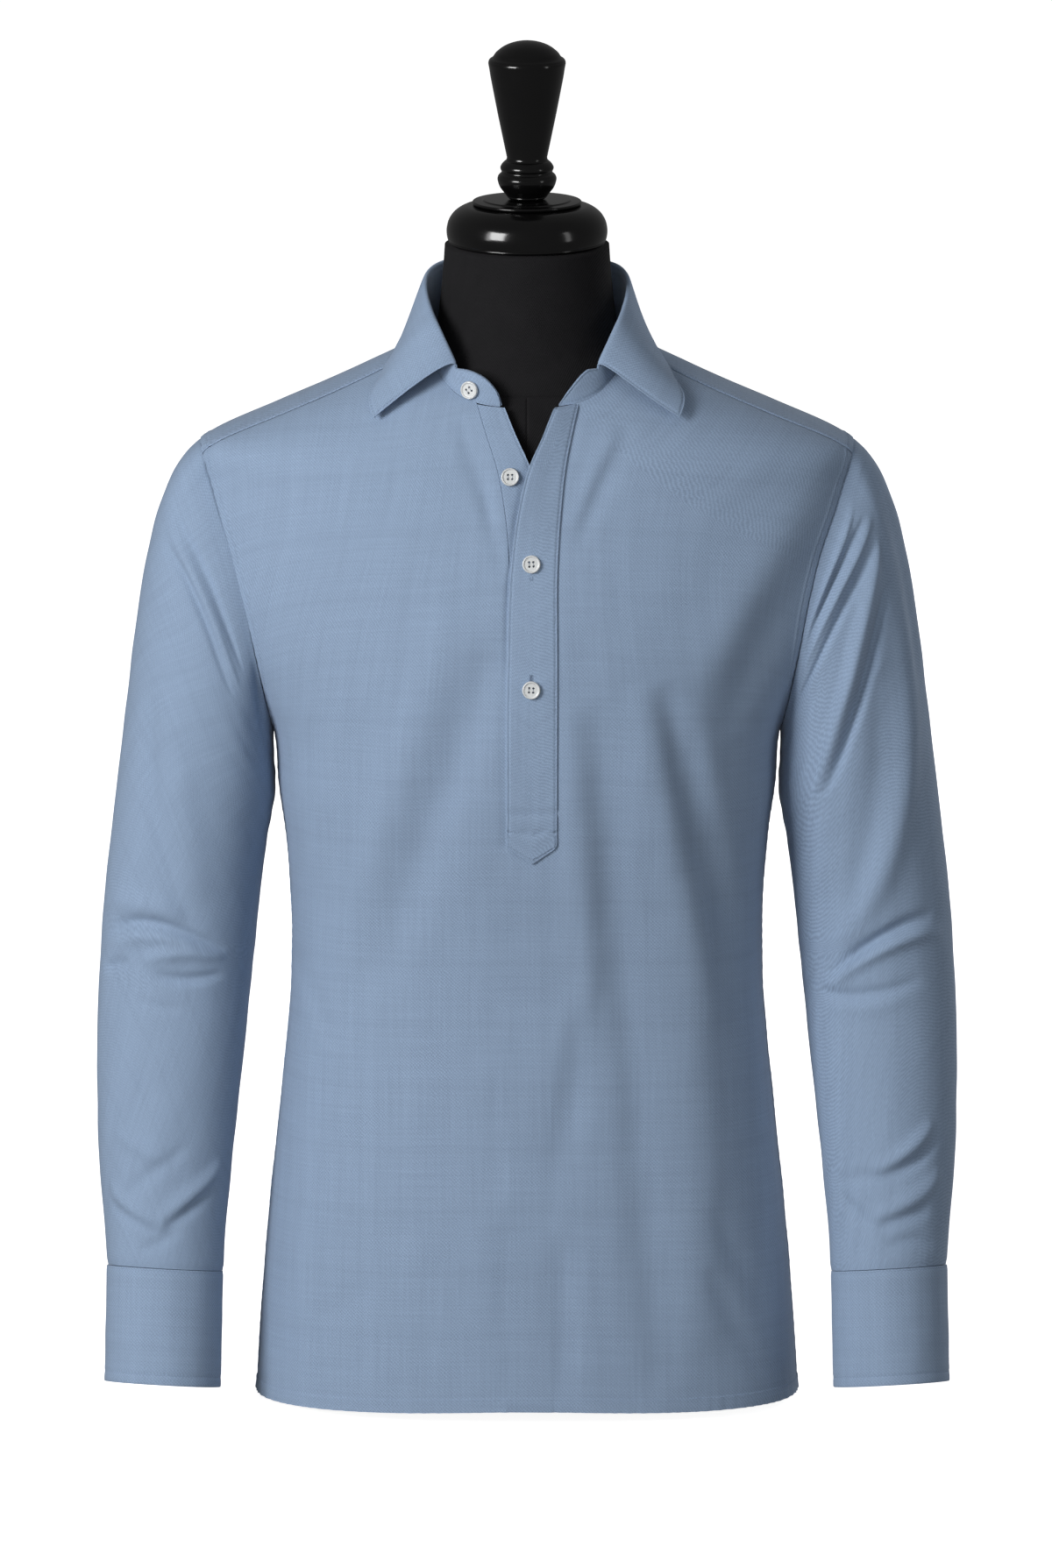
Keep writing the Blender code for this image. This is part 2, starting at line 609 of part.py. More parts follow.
def make_yoke():
    over_shoulder = np.linspace(FRONT_SEAM_TURN, BACK_SEAM_TURN, 6)
    arm_angle, arm_height = armhole(over_shoulder)
    across = np.linspace(arm_angle[-1], 2 * np.pi - arm_angle[-1], 11)[1:-1]
    outer_angle = np.concatenate([arm_angle, across, 2 * np.pi - arm_angle[::-1]])
    outer_height = np.concatenate([arm_height, 0 * across + arm_height[-1], arm_height[::-1]])
    shoulder_neck = np.linspace(FRONT_SEAM_NECK, np.radians(112), 6)
    back_neck = np.linspace(shoulder_neck[-1], 2 * np.pi - shoulder_neck[-1], 11)[1:-1]
    neck = np.concatenate([shoulder_neck, back_neck, 2 * np.pi - shoulder_neck[::-1]])
    share = np.linspace(0, 1, 7)[:, None, None]
    outer = np.stack([outer_angle, outer_height], axis=-1)
    inner = np.stack([neck, neck_height(neck)], axis=-1)
    sheet = trimmed(outer + share * (inner - outer), "bottom first last")
    cloth("yoke", torso(sheet[..., 0], sheet[..., 1]))


def strip(left_column, right_column, heights, columns, side_gap, top_gap):
    """(angle, height) of an upright strip between two edge lines, up to the neck edge."""
    share = np.linspace(0, 1, columns)[None, :]
    height = heights + 0 * share
    left = read(OPENING, left_column, height) + side_gap
    right = read(OPENING, right_column, height) - side_gap
    x = left + (right - left) * share
    height[-1] = neck_height(angle_at(x[-1], height[-1])) - top_gap
    return angle_at(x, height), height


def make_placket():
    rows = np.concatenate([[SLOT_BOTTOM, ARMPIT_HEIGHT], slot_line("slot_right")[1]])
    under = rows[:, None].copy()
    under[0] += SEAM_GAP
    angle, height = strip("slot_left", "lower_free", under, 4, SEAM_GAP, SEAM_GAP)
    cloth("placket_under", torso(angle, height))

    columns = 5
    centred = 1 - np.abs(np.linspace(-1, 1, columns))
    tip = STRIP_CORNER - (STRIP_CORNER - STRIP_TIP) * centred
    over = np.concatenate([[tip], [0 * tip + STRIP_CORNER + EDGE_LINE], rows[:, None] + 0 * tip])
    angle, height = strip("strip_free", "strip_sewn", over, columns, 0, STRIP_TOP_GAP)
    cloth("placket_over", raised(torso, angle, height, WALL + SEAM_GAP))


def make_collar():
    full = 2 * np.pi
    under_leaf = np.linspace(LEAF_END, full - LEAF_END, 29)
    left_end = np.linspace(full - LEAF_END, full + BAND_END_LEFT, 6)[1:]
    right_end = np.linspace(BAND_END_RIGHT, LEAF_END, 6)[:-1]
    angle, up = grid(np.concatenate([right_end, under_leaf, left_end]), np.linspace(0, 1, 4))
    cloth("collar_band", band(angle, up), wall=FIRM_WALL)
    angle, out = grid(under_leaf, np.array([0, 0.12, 0.25, 0.4, 0.6, 0.8, 1.0]))
    cloth("collar_leaf", leaf(angle, out))


def make_sleeves():
    ways = np.array([0, 0.015, 0.03, 0.06, 0.1, 0.14, 0.18, 0.22, 0.27, 0.32, 0.38, 0.44])
    ways = np.concatenate([ways, np.linspace(0.50, 0.66, 5), np.linspace(0.72, 1, 6)])
    turns = np.linspace(0, 2 * np.pi, 21)[:-1]
    turn, along = grid(turns, ways)
    cuff_turns = np.linspace(CUFF_OPENING, CUFF_OPENING + 2 * np.pi + CUFF_LAP, 27)
    cuff_turn, down = grid(cuff_turns, np.linspace(0, CUFF_HEIGHT, 3))
    slit_share, slit_way = grid(np.linspace(-1, 1, 5), np.linspace(0, 1, 6))
    slit_turn = CUFF_OPENING + CUFF_LAP / 2 + slit_share * SLIT_HALF_TURN
    slit_start = SLIT_TIP + (SLIT_CORNER - SLIT_TIP) * np.abs(slit_share)
    slit_along = slit_start + (SLIT_END - slit_start) * slit_way
    for side, folds in (("left", SLEEVE_FOLDS_LEFT), ("right", SLEEVE_FOLDS_RIGHT)):

        def keep(points, side=side):
            return points if side == "left" else mirrored(points)

        def arm(turn, along, folds=folds):
            return sleeve(turn, along, folds)

        cloth("sleeve_" + side, keep(arm(turn, along)), closed=True)
        cloth("cuff_" + side, keep(cuff(cuff_turn, down)), wall=FIRM_WALL)
        slit = raised(arm, slit_turn, slit_along, WALL + SEAM_GAP)
        cloth("sleeve_placket_" + side, keep(slit))


def button_profile(radius):
    thickness = BUTTON_THICKNESS
    return [
        (0.0, 0.72 * thickness),
        (0.60 * radius, 0.72 * thickness),
        (0.76 * radius, thickness),
        (0.92 * radius, 0.96 * thickness),
        (radius, 0.60 * thickness),
        (0.86 * radius, 0.0),
        (0.0, 0.0),
    ]


def seat_button(name, radius, surface, across, along, lift, mirror=False):
    """A button that lies on a surface, its axis along the surface's normal."""
    across = np.array([across])
    along = np.array([along])
    foot, above = (raised(surface, across, along, lift + up)[0] for up in (0, 0.001))
    if mirror:
        foot, above = foot * [-1, 1, 1], above * [-1, 1, 1]
    made = turned(name, button_profile(radius), 14, BUTTON_WHITE, 0.35)
    made.location = foot
    made.rotation_mode = "QUATERNION"
    made.rotation_quaternion = mathutils.Vector(above - foot).to_track_quat("Z", "Y")


def make_buttons():
    on_band = (math.radians(-28.5), 0.36)
    seat_button("button_1", BUTTON_RADIUS, band, *on_band, BUTTON_GAP)
    on_front = ((2, -0.0116, 0.6705, 0.0), (3, 0.0030, 0.6120, 1), (4, 0.0030, 0.5260, 1))
    for number, x, height, strips in on_front:
        lift = BUTTON_GAP + strips * (WALL + SEAM_GAP)
        angle = float(angle_at(x, height))
        seat_button(f"button_{number}", BUTTON_RADIUS, torso, angle, height, lift)
    turn = CUFF_OPENING + 2 * np.pi + CUFF_LAP / 2
    for side in ("left", "right"):
        seat_button(
            "cuff_button_" + side,
            CUFF_BUTTON_RADIUS,
            cuff,
            turn,
            CUFF_HEIGHT / 2,
            BUTTON_GAP,
            mirror=side == "right",
        )


def make_form():
    """The form: rings joined by quads, closed flat below and at the neck."""
    heights = FORM["height"]
    angles = np.linspace(0, 2 * np.pi, 29)[:-1]
    angle, height = grid(angles, heights)
    radius = section_radius(FORM, angle, height)
    points = np.stack([radius * np.sin(angle), -radius * np.cos(angle), height], axis=-1)
    rows, columns = angle.shape
    index = np.arange(rows * columns).reshape(rows, columns)
    right = np.roll(index, -1, axis=1)
    faces = np.stack([index[:-1], right[:-1], right[1:], index[1:]], axis=-1)
    faces = faces.reshape(-1, 4).tolist()
    faces.append(index[0, ::-1].tolist())
    faces.append(index[-1].tolist())
    mesh = bpy.data.meshes.new("form_body")
    mesh.from_pydata(points.reshape(-1, 3).tolist(), [], faces)
    add_object("form_body", mesh, FORM_BLACK, 0.9)
    turned("neck_cap", CAP_PROFILE, 32, GLOSS_BLACK, 0.12)
    turned("cap_disc", DISC_PROFILE, 32, GLOSS_BLACK, 0.12)
    turned("finial", FINIAL_PROFILE, 20, GLOSS_BLACK, 0.12)


clear_scene()
make_form()
make_back()
make_yoke()
make_front()
make_placket()
make_collar()
make_sleeves()
make_buttons()
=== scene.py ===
# %% [markdown]
# # An oxford shirt on a dress form
# A long-sleeved cotton shirt with a half placket stands on a limbless black
# dress form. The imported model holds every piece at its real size. This file
# works out the same surfaces again on a much finer grid, so that soft folds,
# turned edges, stitches and buttonholes have room, and gives each its finish.

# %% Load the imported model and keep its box
import math

import bmesh
import bpy
import numpy as np
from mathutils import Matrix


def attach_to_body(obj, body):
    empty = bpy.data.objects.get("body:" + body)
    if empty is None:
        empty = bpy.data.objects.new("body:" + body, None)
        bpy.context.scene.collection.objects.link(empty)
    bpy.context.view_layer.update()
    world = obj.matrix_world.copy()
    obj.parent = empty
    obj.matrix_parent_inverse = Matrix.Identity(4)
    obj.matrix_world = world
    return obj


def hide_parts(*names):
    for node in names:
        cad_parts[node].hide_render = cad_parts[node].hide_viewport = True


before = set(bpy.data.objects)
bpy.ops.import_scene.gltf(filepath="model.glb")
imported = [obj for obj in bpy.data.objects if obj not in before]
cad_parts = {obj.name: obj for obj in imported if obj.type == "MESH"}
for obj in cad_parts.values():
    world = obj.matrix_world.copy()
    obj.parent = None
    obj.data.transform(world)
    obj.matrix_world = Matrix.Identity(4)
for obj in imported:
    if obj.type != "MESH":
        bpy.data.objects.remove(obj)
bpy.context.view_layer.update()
scene = bpy.context.scene

# %% [markdown]
# ## Camera
# A catalogue photograph of a garment is taken from far away through a long
# lens, so that the near chest doesn't look larger than the sleeves. The lens
# follows from the distance and from how many metres one pixel of the
# photograph covers. The camera looks down on the shirt by a few degrees.

# %% Camera
PHOTO_HEIGHT = 1789  # pixels
PIXEL = 0.00061  # metres that one pixel covers at the shirt's middle plane
DISTANCE, VIEW_REACH = 16.0, 400.0
ELEVATION = math.radians(11)
AIM = np.array([-0.0007, 0.0, 0.436])
SENSOR = 36.0  # millimetres

camera_data = bpy.data.cameras.new("camera")
camera_data.sensor_width = SENSOR
camera_data.lens = SENSOR * DISTANCE / (PIXEL * PHOTO_HEIGHT)
camera_data.clip_end = VIEW_REACH
camera = bpy.data.objects.new("camera", camera_data)
camera.location = AIM + DISTANCE * np.array([0, -math.cos(ELEVATION), math.sin(ELEVATION)])
camera.rotation_euler = (math.pi / 2 - ELEVATION, 0, 0)
scene.collection.objects.link(camera)
scene.camera = camera
print("lens:", round(camera_data.lens), "mm at", DISTANCE, "m")

# %% [markdown]
# ## Light
# One large softbox at the viewer's left shapes every fold. Two wide, weak ones,
# in front and at the right, open the shadows, and one behind lights the back of
# the shirt. Two narrow strips that only reflections see draw the streaks on the
# black gloss. An even grey world fills what the lamps leave dark.

# %% Light
# Each row: name, place, width and height, watts, lights the cloth, shows in gloss.
LAMPS = [
    ("key_softbox", (-2.35, -2.45, 1.75), (1.3, 1.7), 118.0, True, True),
    ("front_fill", (-0.3, -4.2, 1.0), (2.4, 2.4), 30.0, True, False),
    ("right_fill", (3.2, -1.7, 0.9), (1.3, 1.3), 14.0, True, False),
    ("left_strip", (-1.5, -1.0, 1.25), (0.25, 1.1), 4.0, False, True),
    ("right_strip", (1.6, -0.9, 1.1), (0.25, 1.1), 2.0, False, True),
    ("back_fill", (2.0, 2.8, 1.3), (2.0, 2.0), 48.0, True, False),
]
LIT_POINT = np.array([0.0, 0.0, 0.5])
WORLD_GREY = 0.14


def softbox(name, place, size, power, on_cloth, in_gloss):
    """A rectangular lamp that faces LIT_POINT and stays out of every view."""
    data = bpy.data.lights.new(name, "AREA")
    data.shape = "RECTANGLE"
    data.size, data.size_y = size
    data.energy = power
    lamp = bpy.data.objects.new(name, data)
    lamp.location = place
    away = np.array(place) - LIT_POINT
    level = math.hypot(away[0], away[1])
    lamp.rotation_euler = (math.atan2(level, away[2]), 0, math.atan2(away[0], -away[1]))
    lamp.visible_camera = False
    lamp.visible_diffuse = on_cloth
    lamp.visible_glossy = in_gloss
    scene.collection.objects.link(lamp)


for lamp in LAMPS:
    softbox(*lamp)

world = bpy.data.worlds.new("studio")
world.use_nodes = True
world.node_tree.nodes["Background"].inputs["Color"].default_value = (1, 1, 1, 1)
world.node_tree.nodes["Background"].inputs["Strength"].default_value = WORLD_GREY
scene.world = world
scene.view_settings.view_transform = "Standard"

# %% [markdown]
# ## Shader maths
# A material is a tree of small nodes, and a tree of forty of them is hard to
# read as a list of links. The class below wraps one number of the tree, so that
# a pattern can be written as ordinary arithmetic. Finish holds the tree itself
# and adds any other node from its type, its settings and its sockets.


# %% Shader maths
class Value:
    """One number in a material's tree; each operator adds a Math node."""

    def __init__(self, finish, socket):
        self.finish = finish
        self.socket = socket

    def maths(self, operation, *numbers):
        """A Math node fed with values or plain numbers."""
        node = self.finish.node("Math", {"operation": operation}, dict(enumerate(numbers)))
        return Value(self.finish, node.outputs[0])

    def __add__(self, other):
        return self.maths("ADD", self, other)

    def __sub__(self, other):
        return self.maths("SUBTRACT", self, other)

    def __rsub__(self, other):
        return self.maths("SUBTRACT", other, self)

    def __mul__(self, other):
        return self.maths("MULTIPLY", self, other)

    def __pow__(self, other):
        return self.maths("POWER", self, other)

    __radd__ = __add__
    __rmul__ = __mul__

    def sine(self):
        """Its sine, in radians."""
        return self.maths("SINE", self)

    def limited(self):
        """The value cut off below 0 and above 1."""
        return self.maths("MINIMUM", self.maths("MAXIMUM", self, 0.0), 1.0)


class Finish:
    """A material: a node tree round one Principled shader with constant sockets."""

    def __init__(self, name, constants):
        self.material = bpy.data.materials.new(name)
        self.material.use_nodes = True
        self.tree = self.material.node_tree
        self.shader = self.tree.nodes["Principled BSDF"]
        for socket, value in constants.items():
            self.put(self.shader.inputs[socket], value)

    def node(self, kind, settings=None, sockets=None):
        """A node of any type: its settings first, then values or links for its sockets."""
        made = self.tree.nodes.new("ShaderNode" + kind)
        for setting, value in (settings or {}).items():
            setattr(made, setting, value)
        for socket, value in (sockets or {}).items():
            self.put(made.inputs[socket], value)
        return made

    def put(self, socket, value):
        """Link a value to a socket, or set the socket's own number or colour."""
        if isinstance(value, Value):
            value = value.socket
        if isinstance(value, bpy.types.NodeSocket):
            self.tree.links.new(value, socket)
        else:
            socket.default_value = value

    def coordinates(self, uv):
        """The three numbers of the piece's own UV map, or of its Object coordinates."""
        source = self.node("TexCoord").outputs["UV" if uv else "Object"]
        parts = self.node("SeparateXYZ", sockets={0: source})
        return [Value(self, part) for part in parts.outputs]

    def noise(self, x, y, z, detail=2.0, scale=1.0):
        """Smooth noise from 0 to 1, with one lump for each 1 / scale of (x, y, z)."""
        place = self.node("CombineXYZ", sockets={0: x, 1: y, 2: z}).outputs[0]
        sockets = {"Vector": place, "Scale": scale, "Detail": detail}
        return Value(self, self.node("TexNoise", sockets=sockets).outputs["Fac"])

    def mixed(self, share, first, second):
        """Two colours by share; the Mix node keeps colours at inputs 6 and 7 and output 2."""
        sockets = {0: share, 6: first, 7: second}
        return self.node("Mix", {"data_type": "RGBA"}, sockets).outputs[2]

    def colour(self, value):
        self.put(self.shader.inputs["Base Color"], value)

    def rough(self, value):
        self.put(self.shader.inputs["Roughness"], value)

    def bump(self, height, distance, strength=1.0):
        """Relief of a height from 0 to 1 over a distance in metres."""
        sockets = {"Height": height, "Distance": distance, "Strength": strength}
        normal = self.node("Bump", sockets=sockets).outputs[0]
        self.put(self.shader.inputs["Normal"], normal)


def tone(colour, share=1.0):
    """A colour made lighter or darker, with its alpha."""
    return (*(np.array(colour) * share), 1.0)


print("shader helpers ready")

# %% [markdown]
# ## Oxford cloth
# The cloth is a fine basket weave of white and blue yarns. From arm's length it
# reads as a soft diagonal crosshatch with 1.7 mm between its lines, with slubs:
# thicker yarns that run as faint lines both ways. All of it follows the piece's
# UV map, which is laid out in real metres, so that every piece has one scale.

# %% Oxford cloth
# Pitches are metres of cloth, and scales are lumps of noise in one metre.
SHIRT_BLUE, DARK_YARN, LIGHT_YARN = (0.243, 0.325, 0.454), 0.70, 1.30
WEAVE_PITCH, WANDER_SCALE, WANDER = 0.00235, 200.0, 9.0
ONE_WAY, OTHER_WAY = 0.30, 0.18
PATCH_SCALE, PATCH_GAIN, PATCH_LEAST, HATCH_WEIGHT = 22.0, 1.4, 0.1, 1.1
SLUB_LONG, SLUB_THIN, SLUB_WEIGHT = 16.0, 620.0, 0.55
SPECK_SCALE, SPECK_WEIGHT = 1300.0, 1.2
STREAK_THIN, STREAK_LONG, STREAK_WEIGHT = 75.0, 1.5, 0.4
PLAID_PITCH, PLAID_POWER, PLAID_WEIGHT = 0.044, 24.0, 0.16
CONTRAST, ROUGHEST, HATCH_SHINE = 0.55, 0.90, 0.10
HATCH_RELIEF, YARN_RELIEF, RELIEF_DEPTH, RELIEF_STRENGTH = 0.6, 0.4, 0.00022, 0.55


def oxford_cloth():
    """Share of the pale yarn: 0.5 + CONTRAST * (hatch + slubs + specks + streaks - plaid).

    The hatch is the sum of a sine wave across each slant. Noise pushes the waves
    about and makes them stronger in some patches than in others.
    """
    soft = {"Sheen Weight": 0.12, "Sheen Roughness": 0.45, "Specular IOR Level": 0.18}
    finish = Finish("oxford_cloth", soft)
    across, along, _ = finish.coordinates(uv=True)
    turn = 2 * math.pi / WEAVE_PITCH
    wander = finish.noise(across * WANDER_SCALE, along * WANDER_SCALE, 3.0) * WANDER
    one_way = ((across + along) * turn + wander).sine()
    other_way = ((across - along) * turn - wander).sine()
    hatch = one_way * ONE_WAY + other_way * OTHER_WAY + 0.5
    patches = finish.noise(across * PATCH_SCALE, along * PATCH_SCALE, 1.0)
    weft = finish.noise(across * SLUB_LONG, along * SLUB_THIN, 4.0, detail=3.0)
    warp = finish.noise(across * SLUB_THIN, along * SLUB_LONG, 7.0, detail=3.0)
    specks = finish.noise(across * SPECK_SCALE, along * SPECK_SCALE, 9.0)
    streak = finish.noise(across * STREAK_THIN, along * STREAK_LONG, 12.0)
    plaid = ((along * (2 * math.pi / PLAID_PITCH)).sine() * 0.5 + 0.5) ** PLAID_POWER
    light = (hatch - 0.5) * (patches * PATCH_GAIN + PATCH_LEAST) * HATCH_WEIGHT
    light = light + (weft - 0.5) * SLUB_WEIGHT + (warp - 0.5) * SLUB_WEIGHT
    light = light + (specks - 0.5) * SPECK_WEIGHT + (streak - 0.5) * STREAK_WEIGHT
    share = ((light - plaid * (weft * PLAID_WEIGHT)) * CONTRAST + 0.5).limited()
    finish.colour(finish.mixed(share, tone(SHIRT_BLUE, DARK_YARN), tone(SHIRT_BLUE, LIGHT_YARN)))
    finish.rough(ROUGHEST - hatch * HATCH_SHINE)
    relief = hatch * HATCH_RELIEF + weft * YARN_RELIEF + warp * YARN_RELIEF + specks * YARN_RELIEF
    finish.bump(relief, RELIEF_DEPTH, RELIEF_STRENGTH)
    return finish.material


CLOTH = oxford_cloth()
print("cloth:", len(CLOTH.node_tree.nodes), "nodes")

# %% [markdown]
# ## Tables and the body's surface
# A maker drafts a shirt from a handful of body measures. The tables below are
# those measures: the body's half width and depth at each height, and where the
# neck edge, the opening, the collar and the sleeve run. A smooth curve goes
# through each column, so a few rows are enough.


# %% Tables and smooth columns
def table(columns, *rows):
    """A table with named columns; the first column is the station."""
    return dict(zip(columns.split(), np.array(rows, float).T))


def read(source, column, at):
    """A column at any station: a cubic through the rows, with their mean slopes."""
    stations = next(iter(source.values()))
    values = source[column]
    slopes = np.gradient(values, stations)
    at = np.clip(at, stations[0], stations[-1])
    row = np.clip(np.searchsorted(stations, at) - 1, 0, len(stations) - 2)
    reach = stations[row + 1] - stations[row]
    t = (at - stations[row]) / reach
    start = (1 + 2 * t) * (1 - t) ** 2 * values[row] + t * (1 - t) ** 2 * reach * slopes[row]
    end = t**2 * (3 - 2 * t) * values[row + 1] - t**2 * (1 - t) * reach * slopes[row + 1]
    return start + end


def eased(share):
    """0 to 1 with level ends: 3 s^2 - 2 s^3."""
    share = np.clip(share, 0, 1)
    return share**2 * (3 - 2 * share)


def index_of(values, aim):
    """Index of the value nearest to an aim."""
    return int(np.argmin(np.abs(values - aim)))


TORSO = table(
    "height half_width front back squareness",
    (0.000, 0.1890, 0.1050, 0.1120, 2.25),
    (0.060, 0.1855, 0.1050, 0.1110, 2.25),
    (0.140, 0.1790, 0.1040, 0.1090, 2.25),
    (0.220, 0.1707, 0.1030, 0.1040, 2.25),
    (0.300, 0.1638, 0.1040, 0.0990, 2.25),
    (0.350, 0.1636, 0.1080, 0.0990, 2.25),
    (0.400, 0.1672, 0.1150, 0.1040, 2.25),
    (0.440, 0.1725, 0.1200, 0.1100, 2.25),
    (0.477, 0.1760, 0.1225, 0.1160, 2.25),
    (0.505, 0.1870, 0.1230, 0.1190, 2.20),
    (0.540, 0.2045, 0.1215, 0.1220, 2.15),
    (0.580, 0.2190, 0.1170, 0.1215, 2.10),
    (0.620, 0.2270, 0.1100, 0.1180, 2.05),
    (0.655, 0.2290, 0.1020, 0.1110, 2.00),
    (0.680, 0.2262, 0.0950, 0.1040, 2.00),
    (0.705, 0.1745, 0.0845, 0.0960, 2.00),
    (0.717, 0.1460, 0.0780, 0.0920, 2.00),
    (0.731, 0.1150, 0.0660, 0.0870, 2.00),
    (0.752, 0.0740, 0.0520, 0.0800, 2.00),
    (0.765, 0.0650, 0.0500, 0.0745, 2.00),
    (0.780, 0.0610, 0.0490, 0.0700, 2.00),
)
NECKLINE = table(
    "angle height",
    (0, 0.7165),
    (15, 0.7165),
    (25, 0.7185),
    (37, 0.7245),
    (45, 0.7310),
    (60, 0.7420),
    (75, 0.7490),
    (90, 0.7520),
    (120, 0.7560),
    (150, 0.7600),
    (180, 0.7620),
)
OPENING = table(
    "height slot_left slot_right strip_free strip_sewn lower_free",
    (0.400, -0.0120, 0.0160, -0.0140, 0.0207, 0.0157),
    (0.545, -0.0120, 0.0160, -0.0134, 0.0210, 0.0157),
    (0.610, -0.0125, 0.0163, -0.0110, 0.0212, 0.0157),
    (0.647, -0.0155, 0.0180, -0.0060, 0.0235, 0.0125),
    (0.678, -0.0215, 0.0220, 0.0020, 0.0270, 0.0020),
    (0.700, -0.0290, 0.0270, 0.0125, 0.0315, -0.0085),
    (0.722, -0.0360, 0.0330, 0.0220, 0.0370, -0.0180),
)
print("torso table:", len(TORSO["height"]), "rows")

# %% [markdown]
# ## Folds
# Cloth that hangs from the chest falls into long soft troughs, and cloth that a
# bent arm has pushed together keeps short creases at the elbow and the armpit.
# Simulation would find folds of its own, but these have known places, so each
# one is drawn: a bent line with a width, a depth and a lean to one side.


# %% Folds
FOLD_STEPS, SWELL_POWER, NARROW_END = 12, 0.7, 0.65
FOLD_COLUMNS = "start_x start_y middle_x middle_y end_x end_y width depth lean"


def crease(x, y, fold):
    """Height of one fold over (x, y).

    The fold's line is a parabola through its start, middle and end. At a share a
    of the way along it the swell is (4 a (1 - a)) ^ SWELL_POWER, 0 at both ends,
    where the width is NARROW_END of the table's. With s the distance from the
    line in widths, positive to its right, the height is
    depth * swell * (1 + lean * s) * exp(-s^2).
    """
    start, middle, end = np.array(fold[:6]).reshape(3, 2)
    width, depth, lean = fold[6:]
    share = np.linspace(0, 1, FOLD_STEPS + 1)[:, None]
    bend = 2 * middle - (start + end) / 2
    curve = (1 - share) ** 2 * start + 2 * share * (1 - share) * bend + share**2 * end
    nearest = np.full(np.shape(x), np.inf)
    offset = np.zeros(np.shape(x))
    along = np.zeros(np.shape(x))
    for step in range(FOLD_STEPS):
        (ax, ay), run = curve[step], curve[step + 1] - curve[step]
        part = np.clip(((x - ax) * run[0] + (y - ay) * run[1]) / (run @ run), 0, 1)
        dx, dy = x - ax - part * run[0], y - ay - part * run[1]
        distance = np.hypot(dx, dy)
        closer = distance < nearest
        nearest = np.where(closer, distance, nearest)
        offset = np.where(closer, np.sign(dx * run[1] - dy * run[0]) * distance, offset)
        along = np.where(closer, (step + part) / FOLD_STEPS, along)
    swell = (4 * along * (1 - along)) ** SWELL_POWER
    s = offset / (width * (NARROW_END + (1 - NARROW_END) * swell))
    return depth * swell * (1 + lean * s) * np.exp(-(s**2))


def folded(folds, x, y, period=0.0):
    """All folds of a table together; a tube's folds come round again after its period."""
    total = np.zeros(np.broadcast(x, y).shape)
    x, y = np.broadcast_arrays(x, y)
    for fold in np.stack(list(folds.values()), axis=-1):
        total = total + crease(x, y, fold)
        if period:
            total = total + crease(x + period, y, fold) + crease(x - period, y, fold)
    return total


RIPPLE_WAYS, RIPPLE_PHASE = 7, 1.7
GOLDEN_ANGLE = 2.399963


def ripple(u, v, length, height):
    """A faint unevenness: the mean of seven sine waves, each in its own direction.

    Their wavelengths run from 0.7 to 1.3 of the given length.
    """
    way = GOLDEN_ANGLE * np.arange(RIPPLE_WAYS)
    wave = 2 * np.pi / (length * (0.7 + 0.1 * np.arange(RIPPLE_WAYS)))
    phase = (u[..., None] * np.cos(way) + v[..., None] * np.sin(way)) * wave + RIPPLE_PHASE * way
    return height * np.sin(phase).sum(axis=-1) / RIPPLE_WAYS


